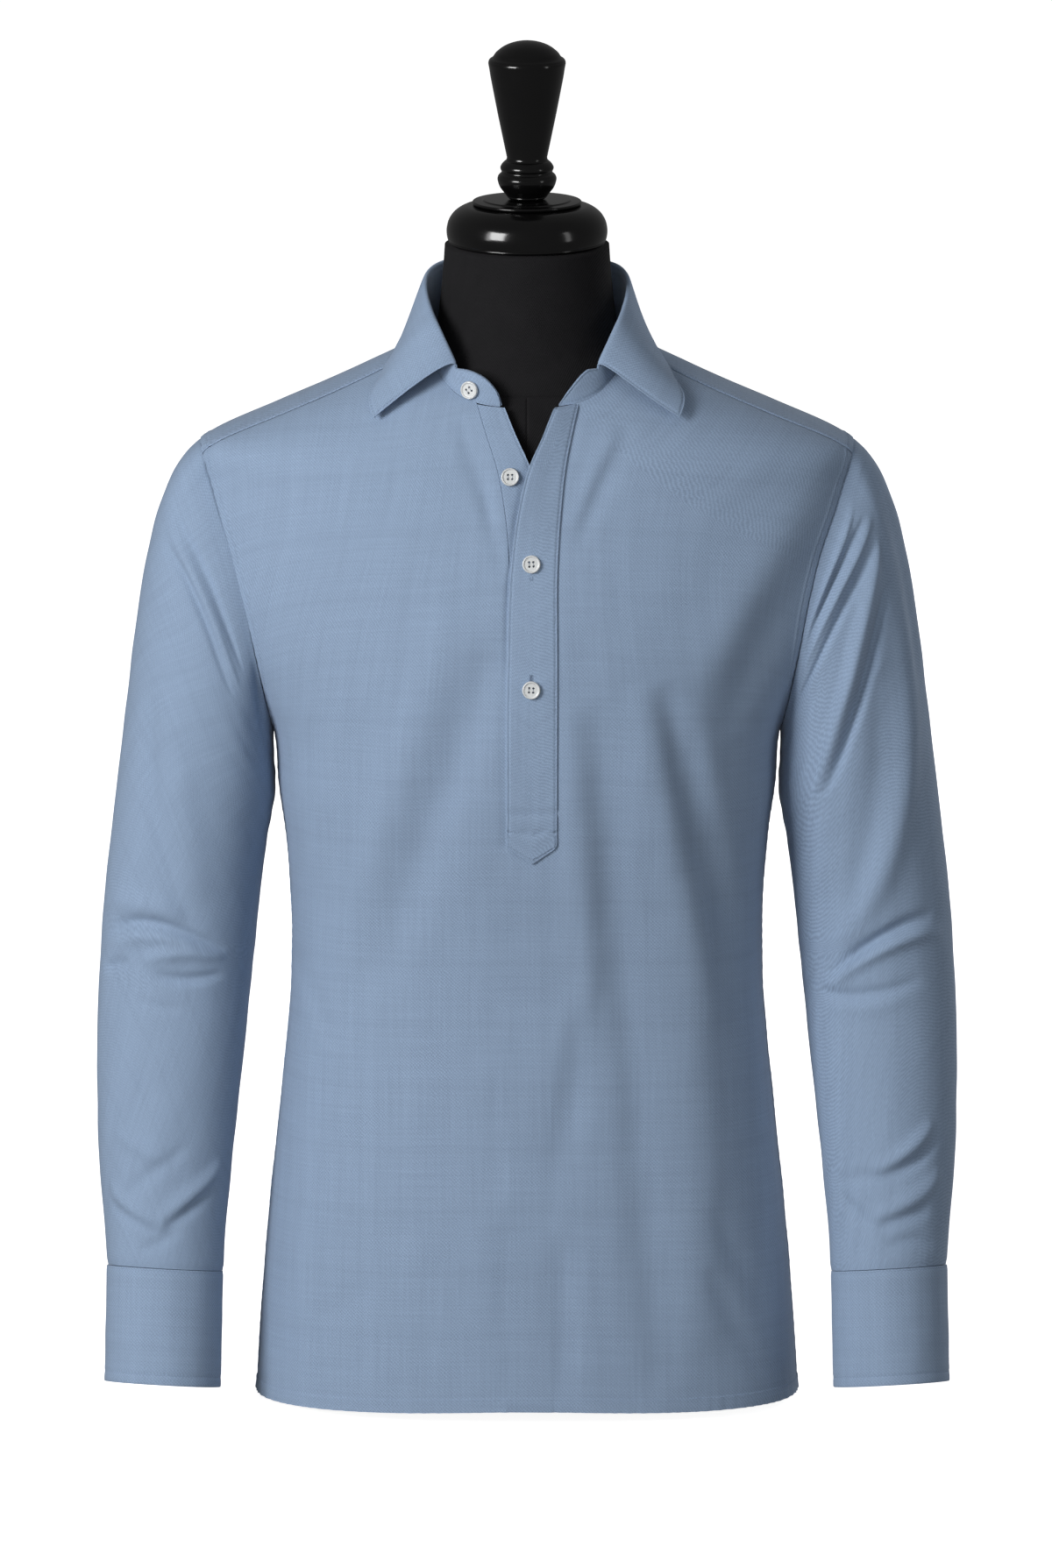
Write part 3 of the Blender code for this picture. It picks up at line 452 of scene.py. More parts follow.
FRONT_FOLDS = table(
    FOLD_COLUMNS,
    (-0.0526, 0.585, -0.0874, 0.461, -0.132, 0.313, 0.0170, 0.0042, 0.0),
    (-0.0160, 0.566, -0.0617, 0.449, -0.108, 0.300, 0.0175, -0.0044, 0.0),
    (-0.128, 0.520, -0.139, 0.450, -0.150, 0.380, 0.0110, 0.0020, 0.0),
    (0.0773, 0.529, 0.1005, 0.402, 0.130, 0.275, 0.0155, 0.0055, 0.0),
    (0.0969, 0.529, 0.1231, 0.424, 0.152, 0.319, 0.0125, -0.0056, 0.2),
    (0.114, 0.520, 0.134, 0.430, 0.158, 0.330, 0.0110, 0.0026, 0.0),
    (0.106, 0.387, 0.120, 0.226, 0.118, 0.047, 0.0200, 0.0050, 0.0),
    (0.0298, 0.517, 0.0371, 0.393, 0.0432, 0.257, 0.0120, 0.0025, 0.0),
    (0.0493, 0.517, 0.0651, 0.362, 0.0816, 0.189, 0.0160, -0.0046, 0.0),
    (0.0737, 0.226, 0.0859, 0.133, 0.0969, 0.022, 0.0160, -0.0034, 0.0),
    (0.0260, 0.300, 0.0086, 0.226, -0.013, 0.140, 0.0120, 0.0014, 0.0),
    (0.0500, 0.310, 0.0295, 0.224, 0.0125, 0.130, 0.0120, -0.0015, 0.0),
    (-0.011, 0.165, -0.013, 0.090, -0.012, 0.018, 0.0095, -0.0014, 0.0),
    (0.022, 0.140, 0.025, 0.080, 0.024, 0.016, 0.0095, -0.0022, 0.0),
    (-0.112, 0.150, -0.117, 0.085, -0.116, 0.018, 0.0150, -0.0014, 0.0),
    (-0.070, 0.120, -0.074, 0.070, -0.073, 0.018, 0.0100, -0.0010, 0.0),
    (0.128, 0.152, 0.148, 0.115, 0.170, 0.070, 0.0080, -0.0018, 0.5),
    (0.124, 0.110, 0.145, 0.072, 0.166, 0.026, 0.0080, -0.0018, 0.5),
    (0.222, 0.690, 0.159, 0.600, 0.115, 0.517, 0.0180, 0.0046, 0.0),
    (0.228, 0.640, 0.173, 0.560, 0.140, 0.486, 0.0160, -0.0062, 0.0),
    (-0.172, 0.455, -0.157, 0.487, -0.140, 0.525, 0.0080, 0.0014, 0.0),
    (-0.166, 0.335, -0.150, 0.300, -0.132, 0.262, 0.0070, -0.0016, 0.4),
    (-0.162, 0.305, -0.147, 0.275, -0.132, 0.240, 0.0060, 0.0012, 0.0),
    (-0.165, 0.050, -0.140, 0.073, -0.108, 0.098, 0.0100, -0.0014, 0.0),
    (-0.046, 0.712, -0.038, 0.680, -0.022, 0.635, 0.0055, -0.0018, 0.4),
    (-0.034, 0.705, -0.029, 0.660, -0.018, 0.605, 0.0045, -0.0012, 0.0),
    (0.062, 0.705, 0.047, 0.675, 0.030, 0.635, 0.0060, 0.0016, 0.0),
    (0.074, 0.700, 0.056, 0.668, 0.036, 0.622, 0.0070, -0.0020, 0.3),
    (-0.150, 0.660, -0.120, 0.615, -0.078, 0.590, 0.0160, -0.0012, 0.0),
)
BACK_FOLDS = table(
    FOLD_COLUMNS,
    (0.150, 0.590, 0.110, 0.530, 0.050, 0.470, 0.017, -0.0040, 0.0),
    (-0.155, 0.600, -0.110, 0.545, -0.060, 0.480, 0.016, -0.0042, 0.2),
    (0.165, 0.545, 0.125, 0.490, 0.080, 0.420, 0.014, 0.0028, 0.0),
    (-0.160, 0.550, -0.125, 0.485, -0.085, 0.430, 0.014, 0.0026, 0.0),
    (0.004, 0.600, -0.004, 0.470, 0.006, 0.330, 0.018, -0.0034, 0.0),
    (0.040, 0.420, 0.052, 0.250, 0.064, 0.020, 0.016, 0.0034, 0.0),
    (-0.038, 0.440, -0.048, 0.240, -0.056, 0.030, 0.017, 0.0032, 0.0),
    (0.088, 0.360, 0.104, 0.200, 0.120, 0.020, 0.014, -0.0032, 0.3),
    (-0.086, 0.330, -0.102, 0.180, -0.122, 0.020, 0.014, -0.0030, 0.3),
    (0.006, 0.280, 0.000, 0.150, -0.004, 0.020, 0.014, -0.0026, 0.0),
    (0.164, 0.330, 0.135, 0.290, 0.098, 0.262, 0.009, -0.0018, 0.4),
    (-0.162, 0.345, -0.130, 0.300, -0.090, 0.280, 0.009, -0.0018, 0.4),
    (0.150, 0.280, 0.120, 0.245, 0.090, 0.225, 0.008, 0.0014, 0.0),
)
print("folds:", len(FRONT_FOLDS["depth"]), "in front,", len(BACK_FOLDS["depth"]), "behind")

# %% [markdown]
# ## The body's surface
# Front, back, yoke and both placket strips lie on one surface, so they meet
# exactly at their seams. The surface is given by the angle round the body and
# the height above the floor.

# %% The body's surface
CHEST_RADIUS, RIPPLE_LENGTH, RIPPLE_HEIGHT = 0.17, 0.045, 0.00035
FOLDS_TOP, FOLDS_FADE = 0.735, 0.02


def section_radius(source, angle, height):
    """Distance from the axis to a rounded-box section: |x/a|^n + |y/b|^n = 1."""
    depth = np.where(np.cos(angle) > 0, read(source, "front", height), read(source, "back", height))
    power = read(source, "squareness", height)
    across = np.abs(np.sin(angle)) / read(source, "half_width", height)
    through = np.abs(np.cos(angle)) / depth
    return (across**power + through**power) ** (-1 / power)


def torso(angle, height):
    """A point of the shirt's outer side at an angle round the body and a height.

    Its radius is the section's, plus the folds times the root of |cos angle|, so
    that none stands out at the side seams, plus a ripple. Both end at FOLDS_TOP.
    """
    angle, height = np.broadcast_arrays(angle, height)
    radius = section_radius(TORSO, angle, height)
    x = radius * np.sin(angle)
    front, back = folded(FRONT_FOLDS, x, height), folded(BACK_FOLDS, x, height)
    folds = np.where(np.cos(angle) > 0, front, back)
    ending = np.clip((FOLDS_TOP - height) / FOLDS_FADE, 0, 1)
    uneven = ripple(angle * CHEST_RADIUS, height, RIPPLE_LENGTH, RIPPLE_HEIGHT)
    radius = radius + (folds * np.abs(np.cos(angle)) ** 0.5 + uneven) * ending
    return np.stack([radius * np.sin(angle), -radius * np.cos(angle), height], axis=-1)


def angle_at(x, height):
    """Angle of the point of the front at x: the section's formula solved for its depth."""
    half_width = read(TORSO, "half_width", height)
    power = read(TORSO, "squareness", height)
    share = np.clip(1 - np.abs(x / half_width) ** power, 0, None)
    return np.arctan2(x, read(TORSO, "front", height) * share ** (1 / power))


def neck_height(angle):
    """Height of the neck edge, the same on both sides."""
    return read(NECKLINE, "height", np.degrees(np.abs(np.arctan2(np.sin(angle), np.cos(angle)))))


HEM_SIDE, HEM_FRONT, HEM_BACK, HEM_BLEND = 0.006, 0.0115, 0.009, 0.12


def above_hem(angle, up):
    """Height of a point so far up the cloth; near the floor it follows the hem's curve."""
    middle = np.where(np.cos(angle) > 0, HEM_FRONT, HEM_BACK)
    hem = HEM_SIDE + (middle - HEM_SIDE) * np.cos(angle) ** 2
    return up + hem * np.clip(1 - up / HEM_BLEND, 0, 1)


ARMPIT_HEIGHT, SHOULDER_HEIGHT = 0.477, 0.680
ARMPIT_X, SHOULDER_X, ARMHOLE_HOLLOW = 0.176, 0.2262, 0.004


def armhole(turn):
    """(angle, height) of the armhole: 0 on the shoulder, 90 in front, 180 below.

    The height swings on a cosine; x runs from armpit to shoulder with a slight hollow.
    """
    up = (1 + np.cos(turn)) / 2
    height = ARMPIT_HEIGHT + (SHOULDER_HEIGHT - ARMPIT_HEIGHT) * up
    x = ARMPIT_X + (SHOULDER_X - ARMPIT_X) * up - ARMHOLE_HOLLOW * np.sin(np.pi * up)
    power = read(TORSO, "squareness", height)
    share = np.clip(1 - (x / read(TORSO, "half_width", height)) ** power, 0, None) ** (1 / power)
    front, back = (read(TORSO, side, height) * share for side in ("front", "back"))
    return np.arctan2(x, np.where(np.sin(turn) >= 0, front, -back)), height


print("chest:", np.round(torso(np.array([0.0]), np.array([0.55]))[0], 4))

# %% [markdown]
# ## Sheets, seams and stitches
# Every cloth piece is a grid of points made into quads, with a UV map in metres
# and a wall from a Solidify modifier. Columns stand close together beside an
# edge, so that a turned or felled edge can step down within a millimetre.
# Stitches are real short threads, laid along a row or column of such a grid.

# %% Sheets
WALL, FIRM_WALL, SEAM_GAP = 0.0012, 0.0016, 0.0003
sheets = []
threads = {}


def run(points, axis):
    """Distance run along each row (axis 1) or column (axis 0), point to point."""
    steps = np.linalg.norm(np.diff(points, axis=axis), axis=-1)
    return np.concatenate([0 * np.take(steps, [0], axis), np.cumsum(steps, axis=axis)], axis=axis)


def unit(vectors):
    """Every vector divided by its length."""
    return vectors / np.maximum(np.linalg.norm(vectors, axis=-1, keepdims=True), 1e-12)


def normals(points):
    """Outward unit normals: slope along the row cross slope along the column."""
    return unit(np.cross(np.gradient(points, axis=1), np.gradient(points, axis=0)))


def proud(points, lift):
    """Every point moved out along its normal."""
    return points + lift[..., None] * normals(points)


def to_sides(points):
    """Distance of each point from the nearer end of its row."""
    way = run(points, 1)
    return np.minimum(way, way[:, -1:] - way)


def cloth_uv(points, middle):
    """UV in metres: distance round from the middle column, distance up from the first row."""
    round_it = run(points, 1)
    return np.stack([round_it - round_it[:, [middle]], run(points, 0)], axis=-1)


def areas(points):
    """Area of each quad: half the cross product of its diagonals."""
    across = points[1:, 1:] - points[:-1, :-1]
    return np.linalg.norm(np.cross(across, points[1:, :-1] - points[:-1, 1:]), axis=-1) / 2


def attach(obj, node, material):
    """Give a piece its material and slot, and the solid that it stands for."""
    obj.data.materials.append(material)
    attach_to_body(obj, "root")
    if node:
        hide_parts(node)
    return obj


def mesh_object(name, points, faces, uv=None):
    """A smooth mesh in the scene, with a UV for each corner of each face."""
    mesh = bpy.data.meshes.new(name)
    corner_lists = faces.reshape(-1, faces.shape[-1]).tolist()
    mesh.from_pydata(points.reshape(-1, 3).tolist(), [], corner_lists)
    if uv is not None:
        layer = mesh.uv_layers.new(name="cloth")
        layer.data.foreach_set("uv", uv.ravel().astype(np.float32))
    mesh.shade_smooth()
    obj = bpy.data.objects.new(name, mesh)
    scene.collection.objects.link(obj)
    return obj


def crisp_rim(mesh):
    """Cloth ends in a cut or folded edge: edges with one face stay sharp when a wall is added."""
    loops = np.empty(len(mesh.loops), np.int32)
    mesh.loops.foreach_get("edge_index", loops)
    alone = np.bincount(loops, minlength=len(mesh.edges)) == 1
    mesh.attributes.new("sharp_edge", "BOOLEAN", "EDGE").data.foreach_set("value", alone)


def corners(grid):
    """The four corners of each cell of a grid of numbers or vectors, anticlockwise."""
    return np.stack([grid[:-1, :-1], grid[:-1, 1:], grid[1:, 1:], grid[1:, :-1]], axis=2)


def quads(rows, columns, closed=False):
    """Corner numbers of the quads of a grid; a closed one ends with its first column."""
    index = np.arange(rows * columns).reshape(rows, columns)
    return corners(np.concatenate([index, index[:, :1]], axis=1) if closed else index)


def sheet(name, points, wall=WALL, uv=None, closed=False, kept=None, middle=0):
    """A piece of cloth that stands for the node of its name.

    kept tells which quads of the grid are cloth. The wall grows inwards.
    """
    whole = np.concatenate([points, points[:, :1]], axis=1) if closed else points
    uv = cloth_uv(whole, middle) if uv is None else uv
    faces = quads(*points.shape[:2], closed)
    kept = np.ones(faces.shape[:2], bool) if kept is None else kept
    obj = mesh_object(name + "_cloth", points, faces[kept], corners(uv)[kept])
    crisp_rim(obj.data)
    solidify = obj.modifiers.new("wall", "SOLIDIFY")
    solidify.thickness = wall
    solidify.offset = -1
    attach(obj, name, CLOTH)
    cut = (float(run(whole, 1)[:, -1].max()), float(run(whole, 0)[-1].max()))
    sheets.append((obj, cut, float(areas(whole)[kept].sum())))
    return obj


print("sheet helpers ready")

# %% Stitches
STITCH_PITCH, STITCH_LENGTH, STITCH_RADIUS = 0.0027, 0.0021, 0.00021
LOOK_AHEAD, TWIST, DARK_TWIST, LIGHT_TWIST = 0.0004, 9000.0, 0.8, 1.1
RING_ALONG = np.array([-0.5, -0.3, 0.3, 0.5])
RING_SIZE = np.array([0.3, 1.0, 1.0, 0.3])
RING_LIFT = np.array([-0.4, 0.5, 0.5, -0.4])


def sewing_thread(name, colour):
    """Spun thread: fine bands across each stitch, in Object coordinates."""
    finish = Finish(name, {"Roughness": 0.75, "Sheen Weight": 0.2})
    x, y, z = finish.coordinates(uv=False)
    twist = ((x + y + z) * TWIST).sine() * 0.5 + 0.5
    finish.colour(finish.mixed(twist, tone(colour, DARK_TWIST), tone(colour, LIGHT_TWIST)))
    return finish.material


def thread_bars(name, centre, forward, up, length, owner, material, slot="oxford_cloth", thick=1.0):
    """Short threads round given centres, each of four rings, thin and low at its ends."""
    side = np.cross(forward, up)
    corner = np.arange(4) * np.pi / 2 + np.pi / 4
    out = thick * STITCH_RADIUS * (RING_LIFT[:, None] + RING_SIZE[:, None] * np.sin(corner))
    flat = thick * STITCH_RADIUS * RING_SIZE[:, None] * np.cos(corner)
    rings = (
        centre[:, None, None]
        + (RING_ALONG * length)[None, :, None, None] * forward[:, None, None]
        + flat[None, ..., None] * side[:, None, None]
        + out[None, ..., None] * up[:, None, None]
    )
    ring = quads(4, 4, closed=True).reshape(-1, 4)
    one = np.concatenate([ring, [[3, 2, 1, 0], [12, 13, 14, 15]]])
    faces = one[None] + 16 * np.arange(len(centre))[:, None, None]
    obj = mesh_object(name, rings, faces)
    threads.setdefault(owner, []).append(attach(obj, None, material))
    print(name, len(centre), "threads")


def along_lines(points, *lines):
    """(points, normals) along each line, given as an index into the grid of points."""
    normal = normals(points)
    return [(points[line], normal[line]) for line in lines]


def stitches(name, paths, owner):
    """A run of stitches along each path of (points, normals)."""
    parts = []
    for points, normal in paths:
        way = np.concatenate([[0], np.cumsum(np.linalg.norm(np.diff(points, axis=0), axis=-1))])
        places = np.arange(0.5 * STITCH_PITCH, way[-1], STITCH_PITCH)
        centre, ahead, up = (
            np.stack([np.interp(at, way, column) for column in source.T], axis=-1)
            for at, source in ((places, points), (places + LOOK_AHEAD, points), (places, normal))
        )
        parts.append(np.stack([centre, unit(ahead - centre), up]))
    thread_bars(name, *np.concatenate(parts, axis=1), STITCH_LENGTH, owner, THREAD)


THREAD = sewing_thread("blue_thread", (0.235, 0.318, 0.450))

# %% [markdown]
# ## Front, back and yoke
# The three large pieces are cut flat and felled together: one edge is folded
# over the other and sewn down, which leaves a raised band some six millimetres
# wide with a stitch line at its inner side. The hem is turned up twice. Each
# piece is a set of rows that run straight between its two edge lines.

# %% Rows between two edge lines
FELL_WIDTH, FELL_STITCH, FELL_RISE, FELL_STEP = 0.0062, 0.0050, 0.0006, 0.0010
BESIDE_FELL = [0.00015, 0.0006, 0.0015, 0.0030, 0.0043, 0.0050, 0.0057, 0.0064, 0.0072, 0.0090]
FELL_COLUMN = BESIDE_FELL.index(FELL_STITCH)
DENT_DEPTH, DENT_WIDTH = 0.00036, 0.0007
PUCKER_PITCH, PUCKER_DRIFT, PUCKER_HEIGHT, PUCKER_FADE = 0.0083, 95.0, 0.00013, 0.007
HEM_STITCH, HEM_RISE, HEM_PUCKER_TOP = 0.0098, 0.0004, 0.05
HEM_ROWS = np.array([0.0, 0.0007, 0.0030, 0.0060, 0.0085, 0.0093, 0.0098, 0.0103, 0.0110, 0.0125])
HEM_STITCH_ROW = index_of(HEM_ROWS, HEM_STITCH)
ROUGH_COLUMNS, ROWS_APART = 61, 10.0


def rows_between(start, end, near_start, near_end, count):
    """(angle, height) rows from one edge line to the other.

    Columns lie at the given distances from the two edges and evenly between
    them. The distances of all rows are looked up in one interpolation, the rows
    kept apart by an offset.
    """
    share = np.linspace(0, 1, ROUGH_COLUMNS)
    rough = start[:, None] + share[None, :, None] * (end - start)[:, None]
    way = run(body_points(rough), 1)
    length = way[:, -1:]
    first, last = np.array(near_start), np.array(near_end)
    middle = first[-1] + np.linspace(0, 1, count) * (length - last[-1] - first[-1])
    places = [first[:-1] + 0 * length, middle, length - last[::-1][1:]]
    places = np.concatenate(places, axis=1)
    offset = ROWS_APART * np.arange(len(way))[:, None]
    ways, shares = (way + offset).ravel(), np.tile(share, len(way))
    share = np.interp(places + offset, ways, shares)
    return start[:, None] + share[..., None] * (end - start)[:, None]


def body_points(rows):
    """The body's points at (angle, height) rows, with the hem's curve."""
    return torso(rows[..., 0], above_hem(rows[..., 0], rows[..., 1]))


def dent(distance):
    """A stitch line pulls the cloth in: -DENT_DEPTH * exp(-(distance / DENT_WIDTH)^2)."""
    return -DENT_DEPTH * np.exp(-((distance / DENT_WIDTH) ** 2))


def felled(distance):
    """A felled seam: raised to FELL_WIDTH, then a quick step down, dented at its stitches."""
    step = 1 - eased((distance - FELL_WIDTH) / FELL_STEP)
    return FELL_RISE * step + dent(distance - FELL_STITCH)


def puckered(along, distance):
    """A sewn seam draws its cloth into tiny waves that die away from it."""
    wave = np.sin(along * (2 * np.pi / PUCKER_PITCH) + 2.0 * np.sin(along * PUCKER_DRIFT))
    return PUCKER_HEIGHT * wave * np.exp(-distance / PUCKER_FADE)


def hemmed(up, along):
    """A turned hem: raised to its stitches, dented there, with tiny waves above."""
    step = 1 - eased((up - HEM_STITCH) / FELL_STEP)
    waves = puckered(along, up - HEM_STITCH) * (up < HEM_PUCKER_TOP)
    return HEM_RISE * step + dent(up - HEM_STITCH) + waves


print("columns beside a felled seam:", len(BESIDE_FELL))

# %% Front
FRONT_SEAM_TURN, BACK_SEAM_TURN = math.radians(20), math.radians(-41)
FRONT_SEAM_NECK = math.radians(74)
SLOT_BOTTOM, SLOT_TOP, SLOT_SHARE = 0.436, 0.7185, 8 / 13
ROW_STEP, FRONT_TURNS, HALF_COLUMNS = 0.0036, 117, 62
BESIDE_SLOT = [0.0, 0.0008, 0.0016, 0.0024, 0.0036]
PRESS_DEPTH, PRESS_WIDTH, PRESS_LOW, PRESS_HIGH = 0.0010, 0.0011, 0.412, 0.600
PRESS_START, PRESS_FADE = 0.004, 0.02
ARM_SEAM_START, SIDE_PUCKER, NECK_DIP, NECK_DIP_WIDTH = 0.006, 0.4, 0.0004, 0.0015


def pressed(x, height):
    """The strip's sewn edge presses a narrow groove into the cloth beside it."""
    beside = (x + PRESS_WIDTH - read(OPENING, "strip_free", height)) / PRESS_WIDTH
    above = eased((height - PRESS_LOW) / PRESS_START)
    below = 1 - eased((height - PRESS_HIGH) / PRESS_FADE)
    return -PRESS_DEPTH * np.exp(-(beside**2)) * above * below


def low_rows():
    """Distances up from the hem to the armpit, close together in the hem."""
    rest = np.linspace(HEM_ROWS[-1], ARMPIT_HEIGHT, int((ARMPIT_HEIGHT - HEM_ROWS[-1]) / ROW_STEP))
    rest[index_of(rest, SLOT_BOTTOM)] = SLOT_BOTTOM
    return np.concatenate([HEM_ROWS, rest[1:]])


def front_rows(side, slot_column):
    """One half of the front, from the slot's edge to the side seam and armhole."""
    low = low_rows()
    slot_rows = round(FRONT_TURNS * SLOT_SHARE)
    top = neck_height(angle_at(read(OPENING, slot_column, SLOT_TOP), SLOT_TOP))
    slot = np.linspace(ARMPIT_HEIGHT, top, slot_rows + 1)[1:]
    inner = angle_at(read(OPENING, slot_column, np.append(low, slot)), np.append(low, slot))
    neck = np.linspace(inner[-1], side * FRONT_SEAM_NECK, FRONT_TURNS - slot_rows + 1)[1:]
    inner = np.stack([np.append(inner, neck), np.concatenate([low, slot, neck_height(neck)])], -1)
    turns = np.linspace(np.pi, FRONT_SEAM_TURN, FRONT_TURNS + 1)[1:]
    arm_angle, arm_height = armhole(turns)
    outer_angle = side * np.append(np.pi / 2 + 0 * low, arm_angle)
    outer = np.stack([outer_angle, np.append(low, arm_height)], -1)
    if side > 0:
        return rows_between(inner, outer, BESIDE_SLOT, BESIDE_FELL, HALF_COLUMNS)
    return rows_between(outer, inner, BESIDE_FELL, BESIDE_SLOT, HALF_COLUMNS)


def make_front():
    """Both halves in one grid; the quads between them are left out above the slot's end."""
    rows = np.concatenate([front_rows(-1, "slot_left"), front_rows(1, "slot_right")], axis=1)
    points = body_points(rows)
    middle = points.shape[1] // 2
    up, from_side = run(points, 0), to_sides(points)
    arm = eased((rows[:, [0], 1] - ARMPIT_HEIGHT) / ARM_SEAM_START)
    lift = arm * felled(from_side) + hemmed(up, from_side)
    lift = lift + puckered(up, from_side) * (SIDE_PUCKER + (1 - SIDE_PUCKER) * arm)
    lift = lift - NECK_DIP * np.exp(-(((up[-1:] - up) / NECK_DIP_WIDTH) ** 2)) * arm
    points = proud(points, lift + pressed(points[..., 0], rows[..., 1]))
    kept = np.ones((len(points) - 1, points.shape[1] - 1), bool)
    kept[rows[:-1, 0, 1] >= SLOT_BOTTOM - 1e-6, middle - 1] = False
    obj = sheet("front", points, kept=kept, middle=middle)
    arm_rows = np.flatnonzero(arm[:, 0] > 0.5)
    lines = np.s_[arm_rows, FELL_COLUMN], np.s_[arm_rows, -1 - FELL_COLUMN], HEM_STITCH_ROW
    stitches("front_stitches", along_lines(points, *lines), "front")
    return obj


front = make_front()
print("front:", len(front.data.polygons), "quads")

# %% Back
BACK_TURNS, BACK_COLUMNS = 70, 118


def make_back():
    """Rows run round the back from the wearer's left side to the right."""
    low = low_rows()
    arm_angle, arm_height = armhole(np.linspace(-np.pi, BACK_SEAM_TURN, BACK_TURNS)[1:])
    angles = np.append(np.pi / 2 + 0 * low, arm_angle)
    heights = np.append(low, arm_height)
    start = np.stack([angles, heights], -1)
    end = np.stack([2 * np.pi - angles, heights], -1)
    points = body_points(rows_between(start, end, BESIDE_FELL, BESIDE_FELL, BACK_COLUMNS))
    up, from_side = run(points, 0), to_sides(points)
    points = proud(points, felled(from_side) + hemmed(up, from_side) + puckered(up, from_side))
    obj = sheet("back", points, middle=points.shape[1] // 2)
    lines = np.s_[:, FELL_COLUMN], np.s_[:, -1 - FELL_COLUMN], HEM_STITCH_ROW
    stitches("back_stitches", along_lines(points, *lines), "back")
    return obj


back = make_back()
print("back:", len(back.data.polygons), "quads")

# %% Yoke
YOKE_EDGE_STITCH, YOKE_BACK_NECK = 0.0018, math.radians(112)
YOKE_ROWS = [0.00015, 0.0006, 0.0012, 0.0018, 0.0024, 0.0032]
YOKE_ROWS += [0.0043, 0.0050, 0.0057, 0.0064, 0.0090]
YOKE_FIRST_TURNS, BESIDE_NECK = np.array([0.003, 0.012, 0.02]), [0.0, 0.002]
YOKE_TURNS, YOKE_BEHIND, YOKE_MIDDLE_ROWS = 34, 91, 36
ROLL_RISE, ROLL_REACH, ROLL_EDGE = 0.0006, 0.004, 0.0006
SPREAD_ACROSS, SPREAD_DOWN = 1.1, 0.85


def edge_roll(distance):
    """A folded edge that lies on its neighbour: raised, rounded off in the last 0.6 mm."""
    far = 1 - eased((distance - ROLL_REACH) / ROLL_REACH)
    return ROLL_RISE * far * eased(distance / ROLL_EDGE)


def round_the_back(side, behind):
    """A row of one shoulder, the part behind, and the other shoulder's mirrored angles."""
    return np.concatenate([side, behind, 2 * np.pi - side[::-1]])


def make_yoke():
    """Columns run from the armholes and the back seam up to the neck edge."""
    turns = np.linspace(FRONT_SEAM_TURN, BACK_SEAM_TURN, YOKE_TURNS)
    turns = np.concatenate([turns[:1], turns[0] - YOKE_FIRST_TURNS, turns[1:]])
    count = len(turns)
    arm_angle, arm_height = armhole(turns)
    share = (turns - turns[0]) / (turns[-1] - turns[0])
    shoulder = FRONT_SEAM_NECK + share * (YOKE_BACK_NECK - FRONT_SEAM_NECK)
    seam, behind = (
        np.linspace(angle, 2 * np.pi - angle, YOKE_BEHIND)[1:-1]
        for angle in (arm_angle[-1], shoulder[-1])
    )
    neck = round_the_back(shoulder, behind)
    outer_height = np.concatenate([arm_height, 0 * seam + arm_height[-1], arm_height[::-1]])
    outer = np.stack([round_the_back(arm_angle, seam), outer_height], -1)
    inner = np.stack([neck, neck_height(neck)], -1)
    rows = rows_between(outer, inner, YOKE_ROWS, BESIDE_NECK, YOKE_MIDDLE_ROWS)
    points = body_points(rows).swapaxes(0, 1)
    up, side = run(points, 0), to_sides(points)
    on_arm = np.zeros(points.shape[1])
    on_arm[:count] = on_arm[-count:] = 1
    at_back = (1 - on_arm) * (edge_roll(up) + dent(up - YOKE_EDGE_STITCH))
    lift = on_arm * felled(up) + at_back + edge_roll(side) + dent(side - YOKE_EDGE_STITCH)
    points = proud(points, lift)
    spread = points[..., 0] * SPREAD_ACROSS, (points[..., 1] - points[..., 2]) * SPREAD_DOWN
    obj = sheet("yoke", points, uv=np.stack(spread, -1))
    arm_row, seam_row = YOKE_ROWS.index(FELL_STITCH), YOKE_ROWS.index(YOKE_EDGE_STITCH)
    lines = np.s_[arm_row, :count], np.s_[arm_row, -count:], np.s_[seam_row, count:-count]
    paths = along_lines(points, *lines)
    for first, second in ((2, 3), (-3, -4)):
        (one, normal), (other, _) = along_lines(points, np.s_[:, first], np.s_[:, second])
        paths.append(((one + other) / 2, normal))
    stitches("yoke_stitches", paths, "yoke")
    return obj


yoke = make_yoke()
print("yoke:", len(yoke.data.polygons), "quads")

# %% [markdown]
# ## Placket
# A half placket is two strips that finish the slit in the front. The lower one
# carries the buttons, the upper one the buttonholes; the upper one is stitched
# along both edges, closed with a box of stitches, and ends in a point. Here the
# top is open, so both strips turn away from the middle on their way to the neck.

# %% Strips
STRIP_CORNER, STRIP_TIP, TIP_BLEND = 0.4157, 0.4020, 0.014
STRIP_LIFT, UNDER_LIFT = 0.0017, -0.0002
STRIP_EDGE = [0.0, 0.0004, 0.0009, 0.0014, 0.0019, 0.0025, 0.0034]
STRIP_STITCH = 0.0014
STITCH_COLUMN = STRIP_EDGE.index(STRIP_STITCH)
TUCK, TUCK_DEPTH = 0.0014, 0.0003
FREE_EDGE_DIP, FREE_EDGE_WIDE, DIP_FADE = 0.0013, 0.0024, 0.05
OPEN_TILT, OPEN_FROM, TILT_FADE, TOP_TUCK = 0.0060, 0.590, 0.08, 0.005
BOX_LINES, EDGE_DENT, BOX_DENT = (0.4390, 0.4248), 1.6, 3.0
UNDER_ROWS, UNDER_COLUMNS, OVER_ROWS, OVER_COLUMNS = 90, 34, 96, 40
TIP_ROWS = np.array([0.0, 0.03, 0.06, 0.10, 0.14, 0.18, 0.24, 0.3, 0.4, 0.5, 0.6, 0.7, 0.8, 0.9])
TIP_STITCH_ROW = 4


def rounded(edge, fall=0.0005, reach=0.0006):
    """A folded edge falls off: by fall at the edge itself, by nothing past reach."""
    return -fall * (1 - eased(edge / reach))


